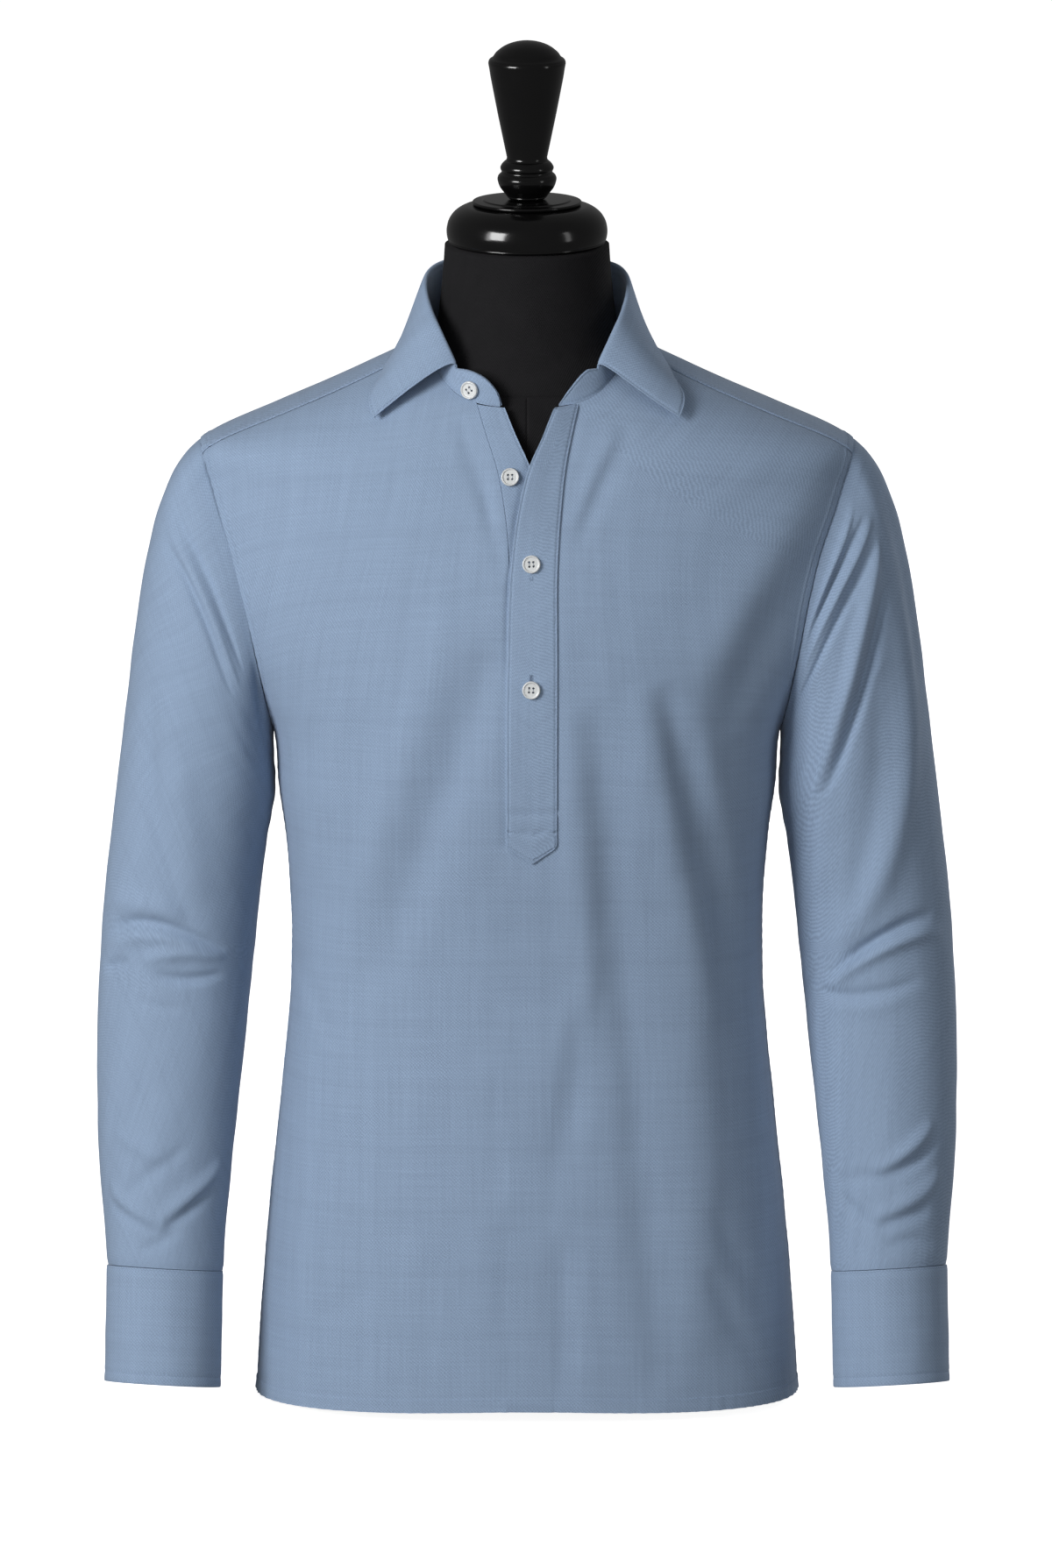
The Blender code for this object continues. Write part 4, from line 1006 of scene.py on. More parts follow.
def strip_places(left_column, right_column, bottom, top_gap, rows, columns, tucked=0.0):
    """(x, height) of an upright strip: both edges from the opening's table, the top at the neck.

    tucked carries the left edge on under its neighbour.
    """
    share = np.linspace(0, 1, columns)[None, :]
    wide_left, wide_right = (read(OPENING, name, SLOT_TOP) for name in (left_column, right_column))
    x_top = wide_left + (wide_right - wide_left) * share
    top = neck_height(angle_at(x_top, SLOT_TOP)) - top_gap
    height = bottom + rows[:, None] * (top - bottom)
    left, right = read(OPENING, left_column, height) - tucked, read(OPENING, right_column, height)
    edge = np.array(STRIP_EDGE)
    inner = np.linspace(edge[-1], 1, columns - 2 * (len(edge) - 1))
    width = right - left
    beside = np.concatenate([edge[:-1], 0 * inner, -edge[::-1][1:]])
    spread = (inner - edge[-1]) / (1 - edge[-1])
    between = np.concatenate([0 * edge[:-1], spread, 0 * edge[1:] + 1])
    middle = (len(edge) - 1 <= np.arange(columns)) & (np.arange(columns) < columns - len(edge) + 1)
    x_middle = left + edge[-1] + between * (width - 2 * edge[-1])
    x_side = np.where(np.arange(columns) < columns // 2, left + beside, right + beside)
    return np.where(middle, x_middle, x_side), height


def make_placket_under():
    """The lower strip: tucked under the front at its seam, and pressed in under the upper one."""
    rows, bottom = np.linspace(0, 1, UNDER_ROWS), SLOT_BOTTOM + SEAM_GAP
    edges = "slot_left", "lower_free"
    x, height = strip_places(*edges, bottom, SEAM_GAP, rows, UNDER_COLUMNS, TUCK)
    points = torso(angle_at(x, height), height)
    from_seam = run(points, 1)
    from_free = from_seam[:, -1:] - from_seam
    under_front = TUCK_DEPTH * (1 - eased((from_seam - TUCK) / TUCK))
    beside = (x - read(OPENING, "strip_free", height)) / FREE_EDGE_WIDE
    dip = FREE_EDGE_DIP * np.exp(-(beside**2)) * eased((height - OPEN_FROM) / DIP_FADE)
    points = proud(points, dent(from_free - STRIP_STITCH) + UNDER_LIFT - under_front - dip)
    obj = sheet("placket_under", points)
    paths = along_lines(points, np.s_[:, -1 - STITCH_COLUMN])
    stitches("placket_under_stitches", paths, "placket_under")
    return obj


def make_placket_over():
    """The top strip; its lowest rows follow the pointed end, and its open part tilts outwards."""
    centred = 1 - np.abs(np.linspace(-1, 1, OVER_COLUMNS))
    point = STRIP_CORNER - (STRIP_CORNER - STRIP_TIP) * centred
    rows, level = np.linspace(0, 1, OVER_ROWS), STRIP_CORNER + TIP_BLEND
    x, height = strip_places("strip_free", "strip_sewn", level, SEAM_GAP, rows, OVER_COLUMNS)
    x = np.concatenate([np.repeat(x[:1], len(TIP_ROWS), axis=0), x])
    height = np.concatenate([point + TIP_ROWS[:, None] * (level - point), height])
    points = torso(angle_at(x, height), height)
    from_free, up = run(points, 1), run(points, 0)
    edge = np.minimum(to_sides(points), up)
    tilt = OPEN_TILT * (1 - from_free / from_free[:, -1:])
    lift = STRIP_LIFT + tilt * eased((height - OPEN_FROM) / TILT_FADE)
    lift = lift * eased((up[-1:] - up) / TOP_TUCK)
    lift = lift + rounded(edge) + EDGE_DENT * dent(edge - STRIP_STITCH)
    for line in BOX_LINES:
        lift = lift + BOX_DENT * dent(height - line)
    points = proud(points, lift)
    obj = sheet("placket_over", points)
    middle = height[:, OVER_COLUMNS // 2]
    crosswise = [TIP_STITCH_ROW] + [index_of(middle, line) for line in BOX_LINES]
    lines = [np.s_[TIP_STITCH_ROW:, column] for column in (STITCH_COLUMN, -1 - STITCH_COLUMN)]
    lines += [np.s_[row, STITCH_COLUMN:-STITCH_COLUMN] for row in crosswise]
    stitches("placket_over_stitches", along_lines(points, *lines), "placket_over")
    return obj


placket_under = make_placket_under()
placket_over = make_placket_over()
print("placket:", len(placket_over.data.polygons) + len(placket_under.data.polygons), "quads")

# %% [markdown]
# ## Collar
# A shirt collar is two pieces: the band stands round the neck and buttons in
# front, and the leaf is sewn to its top edge, rolls over and falls outwards to
# its points. The band is ruled from the neck edge to its top edge. The leaf is
# a cubic curve at each angle, which leaves the band straight up.

# %% Collar lines
COLLAR = table(
    "angle top_radius top_height edge_angle edge_height edge_lift",
    (37.0, 0.0818, 0.7410, 56.5, 0.7040, 0.0055),
    (42.5, 0.0810, 0.7530, 62.0, 0.7140, 0.0050),
    (51.0, 0.0790, 0.7655, 67.0, 0.7250, 0.0042),
    (60.0, 0.0755, 0.7725, 73.0, 0.7340, 0.0030),
    (74.0, 0.0718, 0.7805, 81.5, 0.7410, 0.0022),
    (90.0, 0.0702, 0.7865, 90.0, 0.7440, 0.0020),
    (127.0, 0.0735, 0.7935, 125.0, 0.7480, 0.0030),
    (180.0, 0.0740, 0.7955, 180.0, 0.7505, 0.0040),
)
LEAF_END = math.radians(37)
ROLL, ROLL_TIP, ROLL_OUT, ROLL_DOWN, OPEN_SIDE = 0.009, 0.9, 0.38, 0.62, 1.5
BAND_END_LEFT, BAND_END_RIGHT = math.radians(-13.5), math.radians(16)
BAND_END_REACH, BAND_SLANT, SLANT_POWER = math.radians(21), 0.75, 1.3
BAND_GAP, BAND_LEAST = 0.0001, 0.04


def raised(surface, across, along, lift):
    """A point of a surface moved out along d/d(across) x d/d(along)."""
    step = 1e-4
    first = surface(across + step, along) - surface(across - step, along)
    second = surface(across, along + step) - surface(across, along - step)
    return surface(across, along) + np.asarray(lift)[..., None] * unit(np.cross(first, second))


def collar_lines(angle):
    """(neck edge, band's top edge, leaf's free edge) at an angle round the neck."""
    side = np.where(np.sin(angle) < 0, -1, 1)
    degrees = np.degrees(np.abs(np.arctan2(np.sin(angle), np.cos(angle))))
    neck = torso(angle, neck_height(angle))
    radius, top_height = read(COLLAR, "top_radius", degrees), read(COLLAR, "top_height", degrees)
    top = np.stack([radius * np.sin(angle), -radius * np.cos(angle), top_height], axis=-1)
    edge_angle = np.radians(read(COLLAR, "edge_angle", degrees)) * side
    edge_height, lift = read(COLLAR, "edge_height", degrees), read(COLLAR, "edge_lift", degrees)
    return neck, top, raised(torso, edge_angle, edge_height, lift)


def band(angle, up):
    """Straight from the neck edge to the top edge; the button end is a quarter circle.

    The other end has turned away with the open front, so it reads as a slant.
    """
    neck, top, _ = collar_lines(angle)
    signed = np.arctan2(np.sin(angle), np.cos(angle))
    on_left = np.clip((BAND_END_LEFT - signed) / BAND_END_REACH, 0, 1)
    on_right = np.clip((signed - BAND_END_RIGHT) / (BAND_SLANT * BAND_END_REACH), 0, 1)
    slant, circle = 1 - (1 - on_right) ** SLANT_POWER, np.sqrt(1 - (1 - on_left) ** 2)
    reach = BAND_LEAST + (1 - BAND_LEAST) * np.where(signed > 0, slant, circle)
    base = neck + np.array([0, 0, BAND_GAP])
    return base + (up * reach)[..., None] * (top - base)


def leaf(angle, out):
    """From the band's top edge up over the roll and down to the free edge.

    A cubic through four points: (1-t)^3 start + 3 t (1-t)^2 first +
    3 t^2 (1-t) second + t^3 edge. On the wearer's left, where the collar hangs
    open, the second one lies lower, so that the leaf first falls more steeply.
    """
    neck, top, edge = collar_lines(angle)
    rise = unit(top - neck)
    start = top + SEAM_GAP * rise
    first = start + ROLL * rise
    second = start + ROLL_TIP * ROLL * rise + ROLL_OUT * (edge - start)
    steeper = eased(OPEN_SIDE * np.sin(angle)) * (ROLL_DOWN - ROLL_OUT)
    second[..., 2] += steeper * (edge - start)[..., 2]
    t = out[..., None]
    curve = (1 - t) ** 3 * start + 3 * t * (1 - t) ** 2 * first
    return curve + 3 * t**2 * (1 - t) * second + t**3 * edge


print("leaf's point:", np.round(collar_lines(np.array([LEAF_END]))[2][0], 4))

# %% Collar pieces
LEAF_STITCH, LEAF_DENT, LEAF_RISE, LEAF_EDGE, LEAF_CALM = 0.0017, 1.4, 0.0003, 0.0008, 0.004
BAND_RIPPLE, LEAF_RIPPLE, BAND_CALM = (0.03, 0.0002), (0.035, 0.0003), 0.010
BAND_ENDS = np.radians([0.0, 0.15, 0.5, 1.0, 1.6, 2.4, 3.4])
BAND_ROWS = [0, 0.03, 0.06, 0.09, 0.13, 0.2, 0.3, 0.4, 0.5, 0.6, 0.7, 0.8, 0.88, 0.94, 0.97, 1]
EDGE_SHARES = np.array([0.0, 0.004, 0.008, 0.012, 0.016, 0.021, 0.028])
LEAF_SHARES = [np.linspace(0, 0.5, 17)[:-1], np.linspace(0.5, 0.96, 20), 1 - EDGE_SHARES[::-1]]
ROUND_COLUMNS, END_COLUMNS, NECK_RADIUS, EDGE_SPREAD = 190, 22, 0.07, 1.05
FULL_TURN = 2 * np.pi


def make_band():
    """Columns run round the neck from the wearer's left end to the button end."""
    right_end = np.linspace(BAND_END_RIGHT, LEAF_END, END_COLUMNS)[5:-1]
    left_end = np.linspace(FULL_TURN - LEAF_END, FULL_TURN + BAND_END_LEFT, END_COLUMNS)[1:-5]
    under_leaf = np.linspace(LEAF_END, FULL_TURN - LEAF_END, ROUND_COLUMNS)
    first, last = BAND_END_RIGHT + BAND_ENDS, FULL_TURN + BAND_END_LEFT - BAND_ENDS[::-1]
    angle = np.concatenate([first, right_end, under_leaf, left_end, last])
    points = band(*np.meshgrid(angle, BAND_ROWS))
    height = run(points, 0)
    lift = dent(height - STRIP_STITCH) + dent(height[-1:] - height - STRIP_STITCH)
    lift = lift + ripple(angle * NECK_RADIUS + 0 * height, height, *BAND_RIPPLE)
    points = proud(points, lift * eased(height[-1:] / BAND_CALM))
    obj = sheet("collar_band", points, wall=FIRM_WALL, middle=len(angle) // 2)
    stitches("band_stitches", along_lines(points, np.s_[2, 2:-2], np.s_[-2, 2:-2]), "collar_band")
    return obj


def make_leaf():
    """Made as the visible side: the curve's own surface moved out by the wall, and turned round."""
    first = LEAF_END + EDGE_SHARES * EDGE_SPREAD
    angle = np.linspace(first[-1], FULL_TURN - first[-1], ROUND_COLUMNS)
    angle = np.concatenate([first[:-1], angle, FULL_TURN - first[-2::-1]])
    under = leaf(*np.meshgrid(angle, np.concatenate(LEAF_SHARES)))
    outer = proud(under, np.full(under.shape[:2], -WALL))[:, ::-1]
    from_free = run(outer, 0)
    from_free = from_free[-1:] - from_free
    side = to_sides(outer)
    edge = np.minimum(from_free, side)
    lift = LEAF_RISE * eased(edge / LEAF_EDGE) + LEAF_DENT * dent(edge - LEAF_STITCH)
    lift = lift + ripple(side, from_free, *LEAF_RIPPLE) * eased(edge / LEAF_CALM)
    outer = proud(outer, lift)
    obj = sheet("collar_leaf", outer, middle=len(angle) // 2)
    row = index_of(from_free[:, len(angle) // 2], LEAF_STITCH)
    column = index_of(side[-20, :12], LEAF_STITCH)
    lines = np.s_[row, column:-column], np.s_[22:row, column], np.s_[22:row, -1 - column]
    stitches("leaf_stitches", along_lines(outer, *lines), "collar_leaf")
    return obj


collar_band = make_band()
collar_leaf = make_leaf()
print("collar:", len(collar_band.data.polygons) + len(collar_leaf.data.polygons), "quads")

# %% [markdown]
# ## Sleeves
# A sleeve is one piece of cloth, closed under the arm. Its upper end has the
# armhole's own outline, and the outline fades into a plain tube that tapers to
# the cuff. Creases gather where the arm would bend, at the armpit and at the
# elbow; each sleeve has creases of its own, as in the photograph.

# %% Sleeve surface
SLEEVE = table(
    "along outer_x outer_z inner_x inner_z depth middle_y front_rise",
    (0.00, 0.2266, 0.6800, 0.1766, 0.4770, 0.0560, 0.000, 0.0000),
    (0.04, 0.2365, 0.6705, 0.1767, 0.4715, 0.0575, 0.000, 0.0000),
    (0.08, 0.2465, 0.6550, 0.1766, 0.4650, 0.0590, 0.000, 0.0000),
    (0.13, 0.2560, 0.6300, 0.1764, 0.4550, 0.0600, 0.001, 0.0000),
    (0.19, 0.2643, 0.5970, 0.1757, 0.4430, 0.0610, 0.002, 0.0000),
    (0.26, 0.2710, 0.5560, 0.1756, 0.4300, 0.0610, 0.003, 0.0000),
    (0.34, 0.2772, 0.5070, 0.1782, 0.4140, 0.0600, 0.004, 0.0000),
    (0.42, 0.2830, 0.4570, 0.1818, 0.3930, 0.0580, 0.005, 0.0000),
    (0.50, 0.2888, 0.4080, 0.1856, 0.3640, 0.0555, 0.005, 0.0003),
    (0.58, 0.2943, 0.3580, 0.1890, 0.3320, 0.0530, 0.004, 0.0010),
    (0.66, 0.2978, 0.3090, 0.1925, 0.2990, 0.0505, 0.001, 0.0028),
    (0.74, 0.2997, 0.2620, 0.1965, 0.2590, 0.0480, -0.005, 0.0048),
    (0.82, 0.2996, 0.2130, 0.2019, 0.2105, 0.0450, -0.013, 0.0064),
    (0.90, 0.2978, 0.1660, 0.2070, 0.1630, 0.0420, -0.022, 0.0071),
    (0.96, 0.2942, 0.1250, 0.2110, 0.1210, 0.0400, -0.029, 0.0073),
    (1.00, 0.2926, 0.1016, 0.2122, 0.0970, 0.0392, -0.034, 0.0074),
)
ARMHOLE_FADE, SLEEVE_GAP = 0.30, 0.0005
SLEEVE_LENGTH, SLEEVE_RADIUS = 0.60, 0.052
NEAR_BODY, NEAR_FADE, NEAR_LENGTH, NEAR_END, NEAR_SHARE = 120, 35, 0.35, 0.15, 0.85
ARM_RADIUS, ARM_RIPPLE, ARM_FADE_IN, ARM_FADE_OUT = 0.05, (0.04, 0.0004), 0.03, 0.02
ARM_FOLD_COLUMNS = (
    "start_turn start_along middle_turn middle_along end_turn end_along width depth lean"
)
ARM_FOLDS_LEFT = table(
    ARM_FOLD_COLUMNS,
    (48, 0.036, 72, 0.042, 109, 0.020, 0.0050, 0.0030, 0.0),
    (44, 0.072, 74, 0.058, 108, 0.024, 0.0038, -0.0034, 0.2),
    (40, 0.084, 74, 0.080, 116, 0.044, 0.0042, 0.0030, 0.0),
    (44, 0.112, 81, 0.104, 134, 0.062, 0.0050, -0.0036, 0.2),
    (42, 0.128, 72, 0.168, 124, 0.330, 0.0095, 0.0056, 0.0),
    (44, 0.168, 76, 0.242, 116, 0.350, 0.0062, -0.0050, 0.2),
    (128, 0.300, 120, 0.400, 128, 0.520, 0.0100, 0.0020, 0.0),
    (26, 0.030, 19, 0.182, 26, 0.330, 0.0100, -0.0026, 0.0),
    (38, 0.200, 54, 0.424, 122, 0.606, 0.0120, 0.0048, 0.0),
    (66, 0.250, 78, 0.400, 112, 0.560, 0.0120, -0.0026, 0.0),
    (40, 0.592, 86, 0.602, 130, 0.654, 0.0054, -0.0052, 0.4),
    (30, 0.618, 81, 0.614, 134, 0.670, 0.0062, 0.0042, 0.0),
    (144, 0.672, 104, 0.680, 56, 0.664, 0.0052, -0.0028, 0.0),
    (136, 0.694, 104, 0.698, 70, 0.688, 0.0070, 0.0014, 0.0),
    (50, 0.838, 70, 0.868, 102, 0.896, 0.0052, 0.0038, 0.0),
    (44, 0.860, 68, 0.889, 104, 0.904, 0.0042, -0.0030, 0.3),
    (146, 0.910, 114, 0.902, 78, 0.914, 0.0042, -0.0020, 0.0),
    (38, 0.896, 66, 0.924, 105, 0.942, 0.0058, 0.0036, 0.0),
    (50, 0.936, 77, 0.944, 106, 0.955, 0.0042, -0.0030, 0.3),
    (142, 0.918, 124, 0.936, 106, 0.954, 0.0040, -0.0024, 0.0),
    (40, 0.978, 68, 0.968, 96, 0.976, 0.0040, -0.0018, 0.0),
    (-40, 0.020, -80, 0.085, -128, 0.150, 0.0090, 0.0032, 0.0),
    (-46, 0.090, -84, 0.155, -132, 0.245, 0.0090, -0.0036, 0.3),
    (-58, 0.300, -84, 0.420, -80, 0.540, 0.0100, 0.0024, 0.0),
    (-36, 0.575, -90, 0.603, -146, 0.575, 0.0080, -0.0036, 0.3),
    (-44, 0.640, -92, 0.625, -140, 0.640, 0.0100, 0.0026, 0.0),
    (-44, 0.672, -95, 0.652, -144, 0.680, 0.0060, -0.0026, 0.0),
    (-46, 0.862, -95, 0.922, -150, 0.860, 0.0060, -0.0018, 0.4),
    (-60, 0.925, -62, 0.965, -63, 1.010, 0.0050, -0.0024, 0.6),
    (-82, 0.925, -82, 0.965, -82, 1.010, 0.0050, -0.0022, 0.6),
)
ARM_FOLDS_RIGHT = table(
    ARM_FOLD_COLUMNS,
    (30, 0.100, 69, 0.088, 110, 0.078, 0.0060, -0.0026, 0.3),
    (32, 0.122, 70, 0.108, 112, 0.118, 0.0070, 0.0022, 0.0),
    (32, 0.146, 70, 0.130, 106, 0.155, 0.0060, -0.0024, 0.3),
    (48, 0.310, 58, 0.445, 100, 0.585, 0.0085, -0.0028, 0.3),
    (66, 0.290, 82, 0.420, 108, 0.540, 0.0120, 0.0018, 0.0),
    (118, -0.020, 138, 0.060, 172, 0.190, 0.0085, -0.0030, 0.0),
    (12, 0.588, 60, 0.568, 94, 0.566, 0.0080, 0.0024, 0.0),
    (28, 0.624, 72, 0.589, 130, 0.610, 0.0044, -0.0036, 0.4),
    (32, 0.634, 72, 0.605, 108, 0.614, 0.0060, 0.0024, 0.0),
    (64, 0.644, 92, 0.622, 130, 0.620, 0.0058, 0.0030, 0.0),
    (22, 0.662, 38, 0.654, 54, 0.646, 0.0042, -0.0030, 0.2),
    (72, 0.656, 99, 0.659, 130, 0.646, 0.0046, -0.0032, 0.3),
    (60, 0.690, 79, 0.698, 98, 0.700, 0.0042, -0.0014, 0.0),
    (30, 0.910, 60, 0.938, 92, 0.953, 0.0048, 0.0026, 0.0),
    (150, 0.884, 121, 0.916, 84, 0.946, 0.0054, 0.0036, 0.0),
    (30, 0.932, 61, 0.947, 90, 0.960, 0.0040, -0.0024, 0.2),
    (146, 0.906, 116, 0.931, 90, 0.956, 0.0040, -0.0030, 0.2),
    (110, 0.866, 84, 0.894, 50, 0.926, 0.0050, -0.0018, 0.0),
    (43, 0.850, 70, 0.872, 96, 0.888, 0.0060, 0.0018, 0.0),
    (110, 0.952, 88, 0.968, 64, 0.982, 0.0038, -0.0018, 0.0),
    (-42, 0.040, -84, 0.105, -130, 0.170, 0.0090, -0.0034, 0.3),
    (-46, 0.100, -84, 0.160, -132, 0.240, 0.0100, 0.0030, 0.0),
    (-56, 0.320, -80, 0.430, -76, 0.550, 0.0100, 0.0024, 0.0),
    (-34, 0.570, -88, 0.598, -148, 0.570, 0.0080, -0.0034, 0.3),
    (-44, 0.634, -90, 0.622, -138, 0.636, 0.0100, 0.0024, 0.0),
    (-42, 0.668, -94, 0.650, -142, 0.676, 0.0060, -0.0026, 0.0),
    (-44, 0.868, -98, 0.930, -152, 0.866, 0.0060, -0.0018, 0.4),
    (-60, 0.925, -62, 0.965, -63, 1.010, 0.0050, -0.0024, 0.6),
    (-82, 0.925, -82, 0.965, -82, 1.010, 0.0050, -0.0022, 0.6),
)


def in_metres(folds):
    """A sleeve's fold table with turns and shares of the length made distances."""
    scaled = {}
    for name, values in folds.items():
        scale = math.radians(1) * SLEEVE_RADIUS if name.endswith("turn") else 1.0
        scaled[name] = values * (SLEEVE_LENGTH if name.endswith("along") else scale)
    return scaled


def sleeve_tube(turn, along):
    """The plain ellipse of the sleeve at the way along, tilted with the arm."""
    columns = "outer_x outer_z inner_x inner_z depth middle_y front_rise".split()
    ox, oz, ix, iz, depth, middle_y, rise = (read(SLEEVE, name, along) for name in columns)
    x = (ox + ix) / 2 + (ox - ix) / 2 * np.cos(turn)
    z = (oz + iz) / 2 + (oz - iz) / 2 * np.cos(turn) + rise * np.sin(turn)
    return np.stack([x, middle_y - depth * np.sin(turn), z], axis=-1)


def sleeve(turn, along, folds):
    """The left sleeve: the armhole's outline fades into the tube, and folds are added outwards.

    Beside the body the folds keep only 1 - NEAR_SHARE of their height.
    """
    turn, along = np.broadcast_arrays(turn, along)
    start = torso(*armhole(turn)) + [SLEEVE_GAP, 0, 0]
    fade = np.clip(1 - along / ARMHOLE_FADE, 0, 1)[..., None] ** 2
    point = sleeve_tube(turn, along) + fade * (start - sleeve_tube(turn, 0 * along))
    signed = np.arctan2(np.sin(turn), np.cos(turn))
    x, y = signed * SLEEVE_RADIUS, along * SLEEVE_LENGTH
    height = folded(in_metres(folds), x, y, period=2 * np.pi * SLEEVE_RADIUS)
    beside_body = eased((np.abs(np.degrees(signed)) - NEAR_BODY) / NEAR_FADE)
    beside_body = beside_body * (1 - eased((along - NEAR_LENGTH) / NEAR_END))
    uneven = ripple(np.cos(turn) * ARM_RADIUS, y + np.sin(turn) * ARM_RADIUS, *ARM_RIPPLE)
    height = height * (1 - NEAR_SHARE * beside_body) + uneven
    height = height * eased(along / ARM_FADE_IN) * eased((1 - along) / ARM_FADE_OUT)
    out = np.stack([np.cos(turn), -np.sin(turn), 0 * turn], axis=-1)
    return point + height[..., None] * out


print("elbow:", np.round(sleeve(np.array([np.pi / 2]), np.array([0.6]), ARM_FOLDS_LEFT)[0], 4))

# %% Sleeves, cuffs and their plackets
CUFF_HEIGHT = 0.081
CUFF_OPENING, CUFF_LAP = math.radians(300), math.radians(26)
CUFF_EASE, CUFF_LEAN = 0.0004, np.array([0.02, -0.19, -0.98])
LAP_START, LAP_RISE = math.radians(315), math.radians(35)
CUFF_STITCHES, CUFF_FALL = (0.0014, CUFF_HEIGHT - 0.0070), (0.0004, 0.0008)
CUFF_RADIUS, CUFF_RIPPLE = 0.04, (0.03, 0.00025)
CUFF_TOP = [0, 0.0004, 0.0009, 0.0014, 0.0019, 0.0026]
CUFF_END = CUFF_HEIGHT - np.array([0.0075, 0.0070, 0.0065, 0.004, 0.002, 0.0007, 0])
CUFF_DOWNS = np.concatenate([CUFF_TOP, np.linspace(0.004, 0.072, 30), CUFF_END])
SLIT_HALF_TURN, SLIT_TIP, SLIT_CORNER, SLIT_END = math.radians(17), 0.80, 0.82, 0.997
SLEEVE_TOP = [0, 0.001, 0.002, 0.0035, 0.005, 0.0075, 0.01, 0.0135]
SLEEVE_END = [0.988, 0.991, 0.994, 0.997, 1.0]
SLEEVE_WAYS = np.concatenate([SLEEVE_TOP, np.linspace(0.0175, 0.985, 190), SLEEVE_END])
SLEEVE_TURNS, CUFF_TURNS = 128, 170
UNDERARM_RISE, UNDERARM_EDGE = 0.0005, 0.0008
TOP_DIP, TOP_DIP_WIDTH, END_DIP, END_DIP_WIDTH = 0.0006, 0.0020, 0.0007, 0.0030
GATHERS, GATHER_HEIGHT, GATHER_FADE = 46, 0.0002, 0.010


def cuff(turn, down):
    """The sleeve's last ring carried down the forearm, lapped at its opening."""
    ring = sleeve_tube(turn, 1 + 0 * down)
    lap = eased((turn - CUFF_OPENING - LAP_START) / LAP_RISE) * (FIRM_WALL + 2 * SEAM_GAP)
    out = np.stack([np.cos(turn), -np.sin(turn), 0 * turn], axis=-1)
    return ring + out * (CUFF_EASE + lap)[..., None] + (SEAM_GAP + down)[..., None] * CUFF_LEAN


def on_side(points, side):
    """The wearer's right sleeve is the mirror image, with its columns in reverse to face out."""
    return points if side == "left" else points[:, ::-1] * np.array([-1, 1, 1])


def make_sleeve(side, folds):
    """A closed tube, felled under the arm, drawn in at both its seams and gathered at the cuff."""
    turns = np.linspace(0, 2 * np.pi, SLEEVE_TURNS, endpoint=False)
    turn, along = np.meshgrid(turns, SLEEVE_WAYS)
    points = sleeve(turn, along, folds)
    down = along * SLEEVE_LENGTH
    to_cuff = SLEEVE_LENGTH - down
    from_seam = (turn - np.pi) * SLEEVE_RADIUS
    felled_over = 1 - eased((from_seam - FELL_WIDTH) / FELL_STEP)
    lift = UNDERARM_RISE * eased(from_seam / UNDERARM_EDGE) * felled_over
    lift = lift + dent(from_seam - FELL_STITCH)
    lift = lift - TOP_DIP * np.exp(-((down / TOP_DIP_WIDTH) ** 2))
    lift = lift - END_DIP * np.exp(-((to_cuff / END_DIP_WIDTH) ** 2))
    gathers = np.sin(turn * GATHERS + 2 * np.sin(turn * 5)) * np.exp(-to_cuff / GATHER_FADE)
    lift = lift + puckered(turn * SLEEVE_RADIUS, down) + GATHER_HEIGHT * gathers
    points = on_side(proud(points, lift), side)
    name = "sleeve_" + side
    obj = sheet(name, points, closed=True)
    column = index_of(from_seam[0], FELL_STITCH)
    column = column if side == "left" else -1 - column
    stitches(name + "_stitches", along_lines(points, np.s_[:, column]), name)
    return obj


def make_cuff(side):
    """A band of CUFF_HEIGHT that goes round more than once and is stitched at all its edges."""
    turns = np.linspace(CUFF_OPENING, CUFF_OPENING + 2 * np.pi + CUFF_LAP, CUFF_TURNS)
    turn, down = np.meshgrid(turns, CUFF_DOWNS)
    points = cuff(turn, down)
    edge = np.minimum(down, CUFF_HEIGHT - down)
    lift = dent(down - CUFF_STITCHES[0]) + dent(down - CUFF_STITCHES[1])
    lift = lift + rounded(edge, *CUFF_FALL) + ripple(turn * CUFF_RADIUS, down, *CUFF_RIPPLE)
    points = on_side(proud(points, lift), side)
    name = "cuff_" + side
    obj = sheet(name, points, wall=FIRM_WALL)
    top, low = (index_of(CUFF_DOWNS, line) for line in CUFF_STITCHES)
    lines = np.s_[top, 2:-2], np.s_[low, 2:-2], np.s_[top:low, 1], np.s_[top:low, -2]
    stitches(name + "_stitches", along_lines(points, *lines), name)
    return obj


def make_sleeve_placket(side, folds):
    """A pointed strip on the sleeve over the slit that the cuff's opening continues."""
    share, way = np.meshgrid(np.linspace(-1, 1, 24), np.linspace(0, 1, 60))
    start = SLIT_TIP + (SLIT_CORNER - SLIT_TIP) * np.abs(share)
    turn = CUFF_OPENING + CUFF_LAP / 2 + share * SLIT_HALF_TURN
    points = sleeve(turn, start + (SLIT_END - start) * way, folds)
    edge = np.minimum(to_sides(points), run(points, 0))
    lift = STRIP_LIFT + rounded(edge) + dent(edge - STRIP_STITCH)
    points = on_side(proud(points, lift), side)
    name = "sleeve_placket_" + side
    obj = sheet(name, points)
    lines = np.s_[2:, 1], np.s_[2:, -2], np.s_[2, 1:-1]
    stitches(name + "_stitches", along_lines(points, *lines), name)
    return obj


for side, folds in (("left", ARM_FOLDS_LEFT), ("right", ARM_FOLDS_RIGHT)):
    made = [make_sleeve(side, folds), make_cuff(side), make_sleeve_placket(side, folds)]
    print(side, "arm:", sum(len(obj.data.polygons) for obj in made), "quads")
